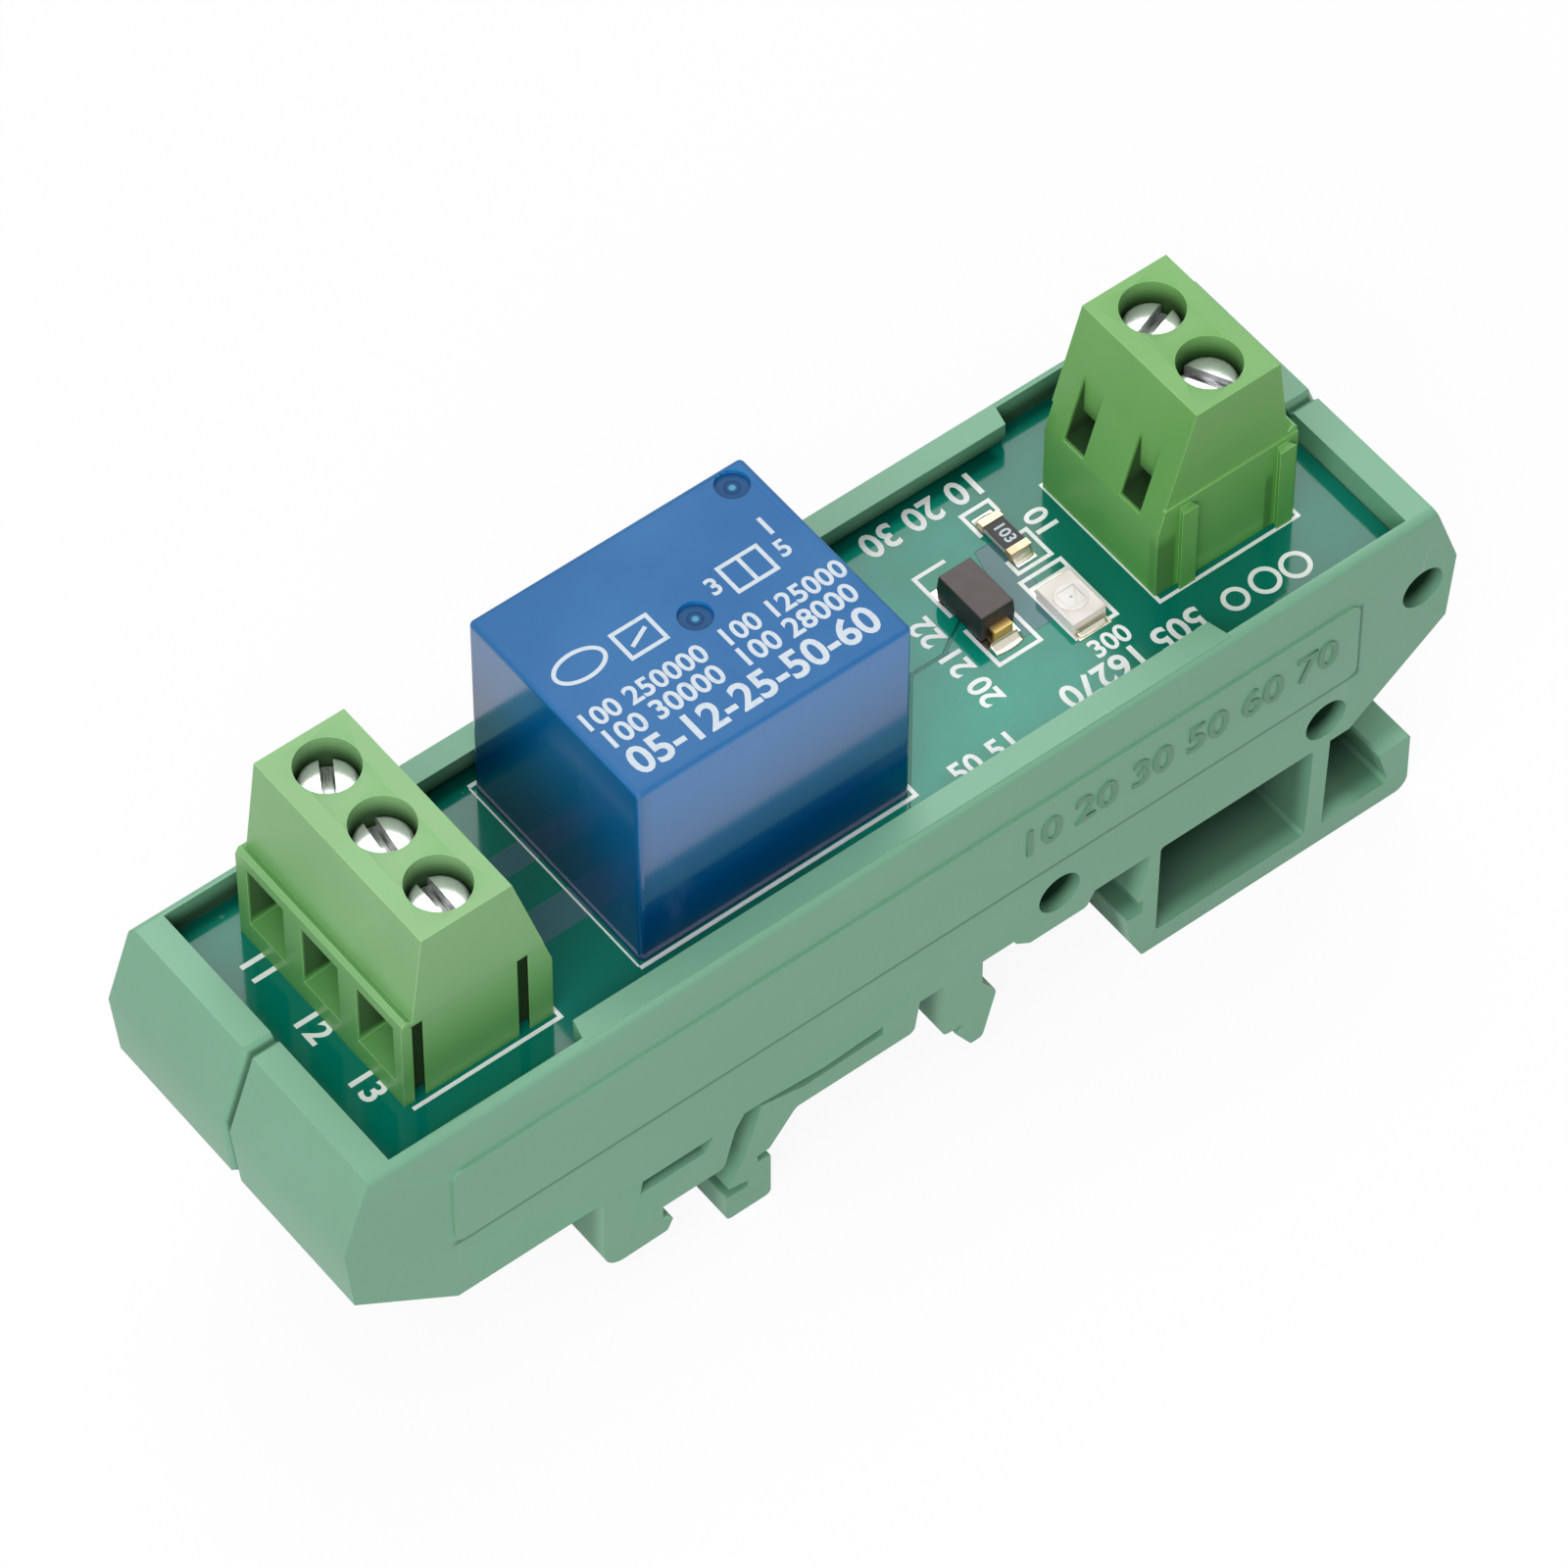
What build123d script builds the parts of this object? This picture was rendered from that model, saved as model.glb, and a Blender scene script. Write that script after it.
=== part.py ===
from build123d import *
import os
from math import radians, sin

os.makedirs("parts", exist_ok=True)

# A relay module for rail mounting, in millimetres. Z 0 is the plane it stands on, X runs along it from the
# contact terminal to the supply terminal, and Y 0 is where the two halves of the carrier meet.

# Carrier, seen from the front
foot_height = 9.5
tray_depth = 14.0
end_wall = 1.85
rim_wall = 0.6
end_bulge = 1.85
low_shoulder_inset = 0.5
sole_inset = 7.5
low_shoulder_rise = 5.4
high_shoulder_drop = 3.45
rim_above_board = 1.95
shell_wall = 1.6
side_wall = 1.4
split_chamfer = 0.45
rim_round = 0.6
panel_inset = 7.4
panel_rise = 5.4
panel_height = 6.5
panel_raise = 0.25
panel_corner = 0.7

# Board and how the carrier holds it
board_length = 72.4
board_width = 20.8
board_thick = 1.6
board_fit = 0.1
ledge_reach = 1.2
ledge_thick = 1.5
lip_length = 46.0
lip_reach = 1.3
lip_relief = 0.6

# Rail feet
rail_width = 35.0
rail_thick = 1.0
rail_centre = -0.5
small_rail_width = 15.0
small_rail_centre = -3.8
rail_seat = 5.4
rail_fit = 0.1
hook_length = 4.2
hook_grip = 0.7
hook_under = 1.55
box_plate = 1.6
box_end_inset = 2.5
box_window = 11.2
box_web = 1.3
end_hook_length = 2.4
end_hook_height = 4.9
latch_strip = 1.9
latch_drop = 2.6
latch_head = 3.25
latch_slit = 0.3
latch_root_gap = 0.75
stop_width = 1.5

# Round sockets in the front face and the pegs that join the halves
socket_radius = 1.5
socket_depth = 6.5
peg_fit = 0.05
peg_length = 3.6
peg_end_gap = 0.3
boss_wall = 1.1
upper_socket_inset = 2.5
upper_socket_drop = 4.6
corner_socket_inset = 1.9
corner_socket_rise = 2.35
middle_socket_x = 10.7
middle_socket_rise = 2.0
pad_length = 4.2

# Screw terminals
row_y = 0.45
pitch = 5.08
end_spare = 0.1
terminal_inset = 3.45
terminal_depth = 10.3
seat_wall = 1.35
top_front = 1.55
top_back = 7.7
ledge_height = 7.9
slope_foot = 5.3
entry_width = 3.4
entry_low = 1.7
entry_high = 6.7
screw_place = 4.65
head_radius = 1.75
head_clear = 0.2
head_thick = 1.7
head_below_top = 1.5
slot_width = 0.8
slot_depth = 0.9
shank_radius = 1.45
shank_fit = 0.05
head_fit = 0.05
cage_width = 3.9
cage_length = 4.5
cage_height = 6.0
cage_side = 0.4
cage_floor = 0.9
cage_top = 1.2
cage_low = 1.1
cage_travel = 2.5
cage_fit = 0.1
blade_thick = 0.7
blade_width = 1.8
blade_reach = 6.3
pin_place = 8.35
pin_width = 0.9
pin_below_board = 1.9
window_width = 1.8
window_top = 10.7
rib_neck = 0.6
rib_head = 1.2
rib_proud = 0.6
rib_fit = 0.06
rib_height = 6.9
rib_places = (1.1, 8.3)
end_panel_height = 7.3
end_panel_proud = 0.12
screw_turns = {"contact": (59, 82, 88), "supply": (19, 117)}

# Relay
relay_x = -6.95
relay_length = 19.1
relay_width = 15.5
relay_height = 15.3
cover_wall = 0.8
cover_round = 0.35
vent_radius = 1.05
vent_depth = 0.3
vent_places = ((0.6, 0.3), (7.9, 6.4))
base_thick = 1.4
base_fit = 0.05
coil_x = -0.6
core_radius = 1.8
pole_radius = 3.1
pole_thick = 0.7
coil_radius = 4.3
bobbin_wall = 0.6
flange_thick = 0.6
headroom = 1.2
yoke_thick = 1.1
yoke_width = 8.0
yoke_rise = 0.3
armature_swing = 2.5
armature_thick = 0.9
armature_width = 7.6
knife_gap = 0.08
spring_thick = 0.2
spring_width = 3.0
bead_radius = 0.9
bead_height = 0.5
bead_inset = 0.9
closed_gap = 0.06
contact_rest_gap = 0.05
strip_thick = 0.4
strip_width = 2.4
pin_end_inset = 2.45
pin_side_inset = 1.75
coil_pin_x = -5.1
coil_pin_width = 0.6

# Small parts on the board: the middle's distance from the supply terminal and its place beside the row
# of terminals, then length along Y, width and height
resistor = {"inset": 4.15, "aside": 3.35, "length": 3.1, "width": 1.5, "height": 0.6, "cap": 0.5,
            "plate": 0.06}
diode = {"inset": 8.8, "aside": 0.2, "length": 4.1, "width": 2.5, "height": 2.2, "lead": 0.22,
         "lead_width": 1.3, "lead_reach": 0.55, "draft": 4.0}
led = {"inset": 4.25, "aside": -2.85, "length": 3.4, "width": 2.45, "height": 0.9, "cup": 1.0,
       "cup_depth": 0.35, "lead": 0.12, "lead_width": 2.0}
pad_thick = 0.05
pad_over = 0.6
pad_side = 0.05
solder_radius = 1.35
solder_height = 1.1
solder_tip = 0.65
hole_fit = 0.12

# Worked-out levels and places
body_bottom = foot_height
board_top = foot_height + tray_depth
rim_top = board_top + rim_above_board
low_shoulder = foot_height + low_shoulder_rise
high_shoulder = board_top - high_shoulder_drop
board_bottom = board_top - board_thick
ledge_bottom = board_bottom - ledge_thick
pocket_x = board_length / 2 + board_fit
pocket_y = board_width / 2 + board_fit
rim_end = pocket_x + end_wall
module_end = rim_end + end_bulge
sole_end = module_end - sole_inset
face_y = pocket_y + rim_wall
into_body = body_bottom + shell_wall / 2
rail_left = rail_centre - rail_width / 2
rail_right = rail_centre + rail_width / 2
small_left = small_rail_centre - small_rail_width / 2
small_right = small_rail_centre + small_rail_width / 2
flange_low = rail_seat - rail_thick
sockets = [(module_end - upper_socket_inset, board_top - upper_socket_drop),
           (sole_end - corner_socket_inset, body_bottom + corner_socket_rise),
           (middle_socket_x, body_bottom + middle_socket_rise)]
terminal_reach = board_length / 2 - terminal_inset
supply_inner_face = terminal_reach - terminal_depth
chamber_top = cage_low + cage_height + cage_travel + cage_fit
head_low = chamber_top + seat_wall + head_fit
head_top = head_low + head_thick
terminal_height = head_top + head_below_top
blade_high = cage_low + cage_height - cage_top - 2 * cage_fit
pin_low = -board_thick - pin_below_board
relay_pin_x = relay_length / 2 - pin_end_inset
relay_pin_y = relay_width / 2 - pin_side_inset
bead_x = relay_pin_x - bead_inset
yoke_back = strip_thick / 2 - relay_pin_x
yoke_face = yoke_back + yoke_thick
hinge_x = yoke_back + yoke_thick / 2
armature_gap = (coil_x + pole_radius - hinge_x) * sin(radians(armature_swing)) + closed_gap
contact_gap = (bead_x + bead_radius - hinge_x) * sin(radians(armature_swing)) + closed_gap

pieces = {}


def front_face(points, y):
    """A closed outline of (x, z) points as a face in the plane at y."""
    return make_face(Polyline(*[(x, y, z) for x, z in points], close=True))


def front_plate(points, y_from, y_to):
    """The outline carried along Y from one place to the other."""
    return extrude(front_face(points, y_from), amount=y_to - y_from, dir=(0, 1, 0))


def rounded_plate(corners, y_from, y_to):
    """The same for corners of (x, z, radius), where a radius of 0 leaves the corner sharp."""
    places = [(x, y_from, z) for x, z, radius in corners]
    wire = FilletPolyline(*places, radius=[radius for x, z, radius in corners], close=True)
    return extrude(make_face(wire), amount=y_to - y_from, dir=(0, 1, 0))


def block(x_from, x_to, y_from, y_to, z_from, z_to):
    """A box between two corners."""
    size = (x_to - x_from, y_to - y_from, z_to - z_from)
    middle = ((x_from + x_to) / 2, (y_from + y_to) / 2, (z_from + z_to) / 2)
    return Pos(*middle) * Box(*size)


def upright(radius, x, y, z_from, z_to):
    """A cylinder along Z between two levels."""
    return Pos(x, y, (z_from + z_to) / 2) * Cylinder(radius, z_to - z_from)


def across(radius, x, z, y_from, y_to):
    """A cylinder along Y between two places."""
    return Pos(x, (y_from + y_to) / 2, z) * Rot(90, 0, 0) * Cylinder(radius, y_to - y_from)


def bar(x, y, size_x, size_y, z_from, z_to):
    """An upright bar round a middle, from one level to another."""
    return block(x - size_x / 2, x + size_x / 2, y - size_y / 2, y + size_y / 2, z_from, z_to)


def one(shape):
    """The single solid of a result that holds just one."""
    return shape.solids()[0]


# Carrier
def carrier_outline():
    """Outer outline of the tray, from the left end of the sole round to the left rim."""
    low_end = module_end - low_shoulder_inset
    right = [(sole_end, body_bottom), (low_end, low_shoulder), (module_end, high_shoulder),
             (rim_end, rim_top)]
    return right + [(-x, z) for x, z in reversed(right)]


def tray():
    """Half of the tray: side wall, ends, floor, board ledge and the lip over the board."""
    shell = front_plate(carrier_outline(), -face_y, 0)
    top_edges = shell.edges().filter_by(Axis.X).group_by(Axis.Y)[0].group_by(Axis.Z)[-1]
    shell = fillet(top_edges, rim_round)
    side = front_face(carrier_outline(), -face_y + side_wall)
    hollow = extrude(offset(side, amount=-shell_wall, kind=Kind.INTERSECTION), amount=face_y, dir=(0, 1, 0))
    hollow &= block(-module_end, module_end, -face_y, face_y, 0, ledge_bottom)
    opening = block(-pocket_x + ledge_reach, pocket_x - ledge_reach, -pocket_y + ledge_reach, pocket_y,
                    ledge_bottom - 1, board_bottom + 1)
    pocket = block(-pocket_x, pocket_x, -pocket_y, pocket_y, board_bottom, rim_top + 1)
    shell = shell - hollow - opening - pocket
    split = [edge for edge in shell.edges().group_by(Axis.Y)[-1] if is_outer(edge)]
    return chamfer(split, split_chamfer) + lip()


def is_outer(edge):
    """Whether an edge of the split plane lies on an end's outside or on the top of its rim."""
    middle = edge.center()
    on_top = abs(middle.Z - rim_top) < split_chamfer / 2
    on_end = abs(middle.X) > (sole_end + module_end - low_shoulder_inset) / 2 - split_chamfer
    inside = abs(abs(middle.X) - pocket_x) < split_chamfer / 2
    return (on_top or on_end) and not inside


def lip():
    """The lip over the board: slanted ends and a relief along its lower inner edge."""
    outer = -pocket_y - rim_wall / 2
    inner = -pocket_y + lip_reach
    low = board_top + board_fit / 2
    section = [(outer, low), (inner - lip_relief, low), (inner, low + lip_relief), (inner, rim_top),
               (outer, rim_top)]
    wire = Polyline(*[(-lip_length / 2, y, z) for y, z in section], close=True)
    bar = extrude(make_face(wire), amount=lip_length, dir=(1, 0, 0))
    end = lip_length / 2
    slant = end - lip_reach / 4
    plan = [(-end, outer), (end, outer), (end, -pocket_y), (slant, inner), (-slant, inner), (-end, -pocket_y)]
    trim = extrude(make_face(Polyline(*[(x, y, 0) for x, y in plan], close=True)), amount=rim_top + 1)
    return bar & trim


def raised_panel():
    """The slightly raised field on the side face, with rounded corners."""
    half = module_end - panel_inset
    low = body_bottom + panel_rise
    high = low + panel_height
    corners = [(-half, low, panel_corner), (half, low, panel_corner), (half, high, panel_corner),
               (-half, high, panel_corner)]
    return rounded_plate(corners, -face_y - panel_raise, -face_y + side_wall / 2)


def hook_leg():
    """The fixed leg that hooks over one edge of the wide rail, with its thin window."""
    edge = rail_left - rail_fit
    under = flange_low - rail_fit
    corners = [(edge - hook_length, into_body, 0), (edge - hook_length, under - hook_under, 1.4),
               (edge + hook_grip - 0.4, under - hook_under + 0.1, 0.2), (edge + hook_grip, under - 0.6, 0.1),
               (edge + hook_grip - 0.35, under, 0), (edge, under, 0), (edge, rail_seat, 0),
               (edge + 4.4, rail_seat, 0.6), (edge + 5.2, body_bottom - 1.1, 1.5), (edge + 6.4, into_body, 0)]
    slot = [(edge - 1.4, body_bottom - 0.35), (edge + 3.6, body_bottom - 0.35),
            (edge + 3.1, body_bottom - 1.4), (edge - 1.6, body_bottom - 1.4)]
    return rounded_plate(corners, -face_y, 0) - front_plate(slot, -face_y - 1, 1)


def latch():
    """The sprung latch: a strip anchored at one end, a slanted arm and a head with a notch on each side."""
    edge = small_left
    out = edge - 2.3
    inside = out + latch_head
    strip_low = body_bottom - latch_drop
    strip_top = strip_low + latch_strip
    root = small_rail_centre + 1.6
    slit_low = body_bottom - latch_slit
    corners = [(root + 2.8, into_body, 0), (root + 2.3, strip_low, 0.5), (edge + 2.8, strip_low, 0.6),
               (edge + 0.85, rail_seat - 0.9, 0.3), (edge, rail_seat - 0.95, 0), (edge, flange_low - 0.5, 0),
               (inside, flange_low - 0.6, 0.1), (inside, 0, 0.4), (out, 0, 0.4), (out, 2.2, 0.1),
               (out + 1.6, 2.1, 0), (out + 1.6, 2.65, 0), (out + 0.15, 2.95, 0.1),
               (edge - 0.85, rail_seat, 0.8),
               (edge + 0.3, slit_low, 0), (edge + 3.4, strip_top - 0.35, 0), (root, strip_top - 0.2, 0),
               (root, strip_top - 0.2 + latch_root_gap, 0), (edge + 4.8, strip_top + latch_root_gap / 3, 0.2),
               (edge + 0.3, slit_low + 0.25, 0), (edge + 0.3, into_body, 0)]
    return rounded_plate(corners, -face_y, 0)


def stop_leg():
    """The short leg that stops the narrow rail on its other edge."""
    edge = small_right
    corners = [(edge - stop_width, into_body, 0), (edge - stop_width, flange_low + 0.2, 0.5),
               (edge, flange_low + 0.1, 0.1), (edge, flange_low - rail_fit, 0),
               (edge - 0.5, flange_low - 0.4, 0),
               (edge + 0.65, 2.1, 0.3), (edge + stop_width, 2.1, 0.4), (edge + 2.5, 5.9, 0.9),
               (edge + 1.4, 7.4, 0.4), (edge + 1.4, into_body, 0)]
    return rounded_plate(corners, -face_y, 0)


def box_foot():
    """The open box foot: plate, two webs, the notch for the wide rail and the hook at the outer end."""
    edge = rail_right + rail_fit
    under = flange_low - rail_fit
    right = module_end - box_end_inset
    inner = right - end_hook_length
    window_left = edge + 1.2
    window_right = window_left + box_window
    web = window_right + box_web
    corners = [(edge + 0.5, into_body, 0), (edge + 0.4, body_bottom - 0.8, 0.6), (edge - 0.5, rail_seat, 0.3),
               (edge, rail_seat, 0), (edge, under, 0), (edge - 1.2, under, 0.1), (edge - 0.8, 1.9, 0.8),
               (edge + 0.1, 0, 0.3), (right, 0, 1.0), (right, end_hook_height, 0.2),
               (inner, end_hook_height - 0.25, 0.2), (inner + 0.9, box_plate, 0.3), (web, box_plate, 0.3),
               (web + 0.3, into_body, 0)]
    window = [(window_left - 0.1, box_plate, 0.3), (window_right, box_plate, 0.3),
              (window_right + 0.3, body_bottom, 0.3), (window_left, body_bottom, 0.3)]
    return rounded_plate(corners, -face_y, 0) - rounded_plate(window, -face_y - 1, 1)


def foot_pad():
    """The pad under the middle socket."""
    half = pad_length / 2
    low = body_bottom + middle_socket_rise - socket_radius - boss_wall - 0.5
    corners = [(middle_socket_x - half - 1.2, into_body, 0),
               (middle_socket_x - half - 1.1, body_bottom - 0.3, 0.4),
               (middle_socket_x - half, low, 0.4), (middle_socket_x + half, low, 0.4),
               (middle_socket_x + half + 1.0, into_body, 0)]
    return rounded_plate(corners, -face_y, 0)


def half_carrier():
    """What both halves share, modelled as the front one."""
    half = tray() + raised_panel() + hook_leg() + latch() + stop_leg() + box_foot() + foot_pad()
    bounds = front_plate(carrier_outline(), -face_y, 0)
    room = block(-module_end, module_end, -face_y, 0, 0, ledge_bottom + ledge_thick / 3)
    for x, z in sockets:
        half += across(socket_radius + boss_wall, x, z, -face_y + side_wall / 2, 0) & (bounds & room)
    return half


def side_elements():
    """The two halves of the carrier."""
    half = half_carrier()
    front = half
    back = mirror(half, about=Plane.XZ)
    for x, z in sockets:
        front -= across(socket_radius, x, z, -face_y - 1, -face_y + socket_depth)
        front -= across(socket_radius, x, z, -peg_length - peg_end_gap, 1)
        back += across(socket_radius - peg_fit, x, z, -peg_length, side_wall)
    pieces["side_element_front"] = one(front)
    pieces["side_element_back"] = one(back)


# Terminals: the block is modelled with its wire face at x 0 and its poles centred on y 0
def pole_places(poles):
    """The y of each pole, from the back of the module to the front."""
    return [pitch * ((poles - 1) / 2 - index) for index in range(poles)]


def dovetail(place, y, spare):
    """A dovetail along Z whose neck is in the plane at y: a rib on one end face, a slot in the other."""
    neck = rib_neck / 2 + spare
    head = rib_head / 2 + spare
    root = y - rib_proud / 2
    tip = y + rib_proud + spare
    plan = [(place - neck, root), (place - neck, y), (place - head, tip), (place + head, tip),
            (place + neck, y), (place + neck, root)]
    face = make_face(Polyline(*[(x, point_y, 0) for x, point_y in plan], close=True))
    return extrude(face, amount=rib_height + spare)


def terminal_body(poles):
    """The moulded housing: wire entries, cage chambers, screw wells, windows and dovetails."""
    width = poles * pitch + end_spare
    end_front = -width / 2
    end_back = width / 2
    back_x = terminal_depth
    profile = [(0, 0), (0, ledge_height - 0.3), (0.25, ledge_height), (0.7, ledge_height - 0.35),
               (top_front, terminal_height), (top_back, terminal_height), (back_x, slope_foot), (back_x, 0)]
    body = front_plate(profile, end_front, end_back)
    panel = [(0, 0), (0, end_panel_height), (back_x - 0.5, end_panel_height), (back_x, slope_foot),
             (back_x, 0)]
    body += front_plate(panel, end_back - end_panel_proud, end_back + end_panel_proud)
    body -= front_plate(panel, end_front - end_panel_proud, end_front + end_panel_proud)
    for place in rib_places:
        body += dovetail(place, end_back, 0)
        body -= dovetail(place, end_front + end_panel_proud, rib_fit)
    chamber_x = screw_place - cage_length / 2 - cage_fit
    chamber_back = screw_place + cage_length / 2 + cage_fit
    seat = head_low - head_fit
    slope = (back_x - top_back) / (terminal_height - slope_foot)
    window_x = top_back + (terminal_height - window_top) * slope
    window_low = blade_high + cage_fit
    half_window = window_width / 2
    half_chamber = cage_width / 2 + cage_fit
    for y in pole_places(poles):
        mouth_end = chamber_x + 0.2
        mouth = [(-1, entry_low), (0, entry_low), (mouth_end, entry_low + 0.25), (mouth_end, entry_high),
                 (0, entry_high), (-1, entry_high)]
        body -= front_plate(mouth, y - entry_width / 2, y + entry_width / 2)
        body -= block(chamber_x, chamber_back, y - half_chamber, y + half_chamber, cage_low - cage_fit,
                      chamber_top)
        body -= upright(head_radius + head_clear, screw_place, y, seat, terminal_height + 1)
        body -= upright(shank_radius + 2 * shank_fit, screw_place, y, chamber_top - 1, seat + 1)
        half_blade = blade_width / 2 + cage_fit
        body -= block(chamber_back - 1, pin_place + blade_thick / 2 + cage_fit, y - half_blade,
                      y + half_blade, -1, blade_high + cage_fit / 2)
        pocket = [(window_x, window_low), (back_x + 1, window_low - 0.2), (back_x + 1, window_top),
                  (window_x, window_top)]
        body -= front_plate(pocket, y - half_window, y + half_window)
        body -= block(chamber_back - 1, window_x + 1, y - half_window, y + half_window, window_low,
                      window_low + 1.5)
    return one(body)


def terminal_pin(y):
    """The fixed blade over the wire and the pin that goes down through the board."""
    blade_low = blade_high - blade_thick
    back = pin_place + blade_thick / 2
    front = pin_place - blade_thick / 2
    half = blade_width / 2
    profile = [(back - blade_reach, blade_low), (front, blade_low), (front, 0.05), (back, 0.05),
               (back, blade_high), (back - blade_reach, blade_high)]
    upper = front_plate(profile, y - half, y + half)
    lower = block(front, back, y - pin_width / 2, y + pin_width / 2, pin_low, blade_thick)
    return one(upper + lower)


def wire_cage(y):
    """The square cage that closes on the wire, with its screw hole."""
    half = cage_width / 2
    front = screw_place - cage_length / 2
    back = screw_place + cage_length / 2
    cage = block(front, back, y - half, y + half, cage_low, cage_low + cage_height)
    cage -= block(front - 1, back + 1, y - half + cage_side, y + half - cage_side, cage_low + cage_floor,
                  cage_low + cage_height - cage_top)
    cage -= upright(shank_radius + shank_fit, screw_place, y, cage_low + cage_height - cage_top - 1,
                    cage_low + cage_height + 1)
    return one(cage)


def clamp_screw(y, turn):
    """A slotted screw; the turn is the slot's angle."""
    tip = cage_low + cage_height - cage_top
    head = upright(head_radius, screw_place, y, head_low, head_top)
    head = fillet(head.edges().group_by(Axis.Z)[-1], 0.25)
    shank = upright(shank_radius, screw_place, y, tip, head_low + head_thick / 4)
    shank = chamfer(shank.edges().group_by(Axis.Z)[0], 0.2)
    slot = Pos(screw_place, y, head_top) * Rot(0, 0, turn) * Box(3 * head_radius, slot_width, 2 * slot_depth)
    return one(head + shank - slot)


def terminals():
    """The three-way terminal at the left end and the two-way one, turned half round, at the right."""
    places = {"contact": (3, Pos(-terminal_reach, row_y, board_top), 0),
              "supply": (2, Pos(terminal_reach, row_y, board_top), 180)}
    for name, (poles, place, turn) in places.items():
        where = place * Rot(0, 0, turn)
        pieces[f"{name}_terminal_body"] = where * terminal_body(poles)
        rows = pole_places(poles) if turn == 0 else pole_places(poles)[::-1]
        for index, y in enumerate(rows):
            number = index + 1
            pieces[f"{name}_clamp_screw_{number}"] = where * clamp_screw(y, screw_turns[name][index])
            pieces[f"{name}_wire_cage_{number}"] = where * wire_cage(y)
            pieces[f"{name}_terminal_pin_{number}"] = where * terminal_pin(y)
            pin_places.append((place.position.X + (pin_place if turn == 0 else -pin_place),
                               row_y + (y if turn == 0 else -y), blade_thick, pin_width))


# Relay: modelled round its own middle with the board's top at z 0
def relay_levels():
    """Levels inside the relay, from the base up."""
    yoke_low = base_thick + yoke_rise
    flange = yoke_low + yoke_thick
    winding = flange + flange_thick
    upper = (flange_thick + pole_thick + armature_gap + armature_thick + spring_thick + 2 * bead_height
             + contact_rest_gap + strip_thick + headroom)
    upper_flange = relay_height - cover_wall - upper
    pole = upper_flange + flange_thick
    pole_top = pole + pole_thick
    armature = pole_top + armature_gap
    spring = armature + armature_thick
    return {"yoke_low": yoke_low, "flange": flange, "winding": winding, "upper_flange": upper_flange,
            "pole": pole, "pole_top": pole_top, "armature": armature, "spring": spring}


def relay_case():
    """The cover with its vent dimples and the base that closes it."""
    half_x = relay_length / 2
    half_y = relay_width / 2
    cover = block(-half_x, half_x, -half_y, half_y, 0, relay_height)
    cover = fillet(cover.edges().filter_by(Axis.Z) + cover.edges().group_by(Axis.Z)[-1], cover_round)
    cover -= block(-half_x + cover_wall, half_x - cover_wall, -half_y + cover_wall, half_y - cover_wall, -1,
                   relay_height - cover_wall)
    for x, y in vent_places:
        cover -= upright(vent_radius, x, y, relay_height - vent_depth, relay_height + 1)
    spare = cover_wall + base_fit
    base = block(-half_x + spare, half_x - spare, -half_y + spare, half_y - spare, 0, base_thick)
    for x, y, size_x, size_y in relay_pins():
        base -= bar(x, y, size_x + 2 * base_fit, size_y + 2 * base_fit, -1, base_thick + 1)
    return one(cover), one(base)


def relay_pins():
    """Each pin: x, y and its size along X and Y where it passes the base and the board."""
    contact = (strip_thick, 1.0)
    coil = (coil_pin_width, coil_pin_width)
    return [(-relay_pin_x, 0, *contact), (relay_pin_x, relay_pin_y, *contact),
            (relay_pin_x, -relay_pin_y, *contact), (coil_pin_x, relay_pin_y, *coil),
            (coil_pin_x, -relay_pin_y, *coil)]


def coil_parts():
    """Bobbin, winding, core with its pole face, and the bent yoke."""
    level = relay_levels()
    tube = core_radius + bobbin_wall
    bobbin = upright(tube, coil_x, 0, level["flange"], level["pole"])
    ear = relay_pin_y + 0.7
    bobbin += block(coil_pin_x - 0.7, coil_x + coil_radius, -ear, ear, level["flange"], level["winding"])
    bobbin += upright(coil_radius, coil_x, 0, level["upper_flange"], level["pole"])
    bobbin -= upright(core_radius, coil_x, 0, level["flange"] - 1, level["pole"] + 1)
    half = yoke_width / 2
    bobbin -= block(yoke_back - 1, yoke_face + 0.05, -half - 0.1, half + 0.1, level["flange"] - 1,
                    level["pole"] + 1)
    for x, y, size_x, size_y in relay_pins()[3:]:
        bobbin -= bar(x, y, size_x, size_y, level["flange"] - 1, level["winding"] + 1)
    winding = upright(coil_radius - 0.3, coil_x, 0, level["winding"], level["upper_flange"])
    winding -= upright(tube, coil_x, 0, level["winding"] - 1, level["upper_flange"] + 1)
    core = upright(core_radius, coil_x, 0, level["yoke_low"], level["pole"])
    core += upright(pole_radius, coil_x, 0, level["pole"], level["pole_top"])
    right = coil_x + core_radius + 1.2
    top = level["armature"] - knife_gap
    profile = [(yoke_back, level["yoke_low"]), (right, level["yoke_low"]), (right, level["flange"]),
               (yoke_face, level["flange"]), (yoke_face, top), (yoke_back, top)]
    yoke = front_plate(profile, -half, half)
    yoke -= upright(core_radius, coil_x, 0, level["yoke_low"] - 1, level["flange"] + 1)
    return one(bobbin), one(winding), one(core), one(yoke)


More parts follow.
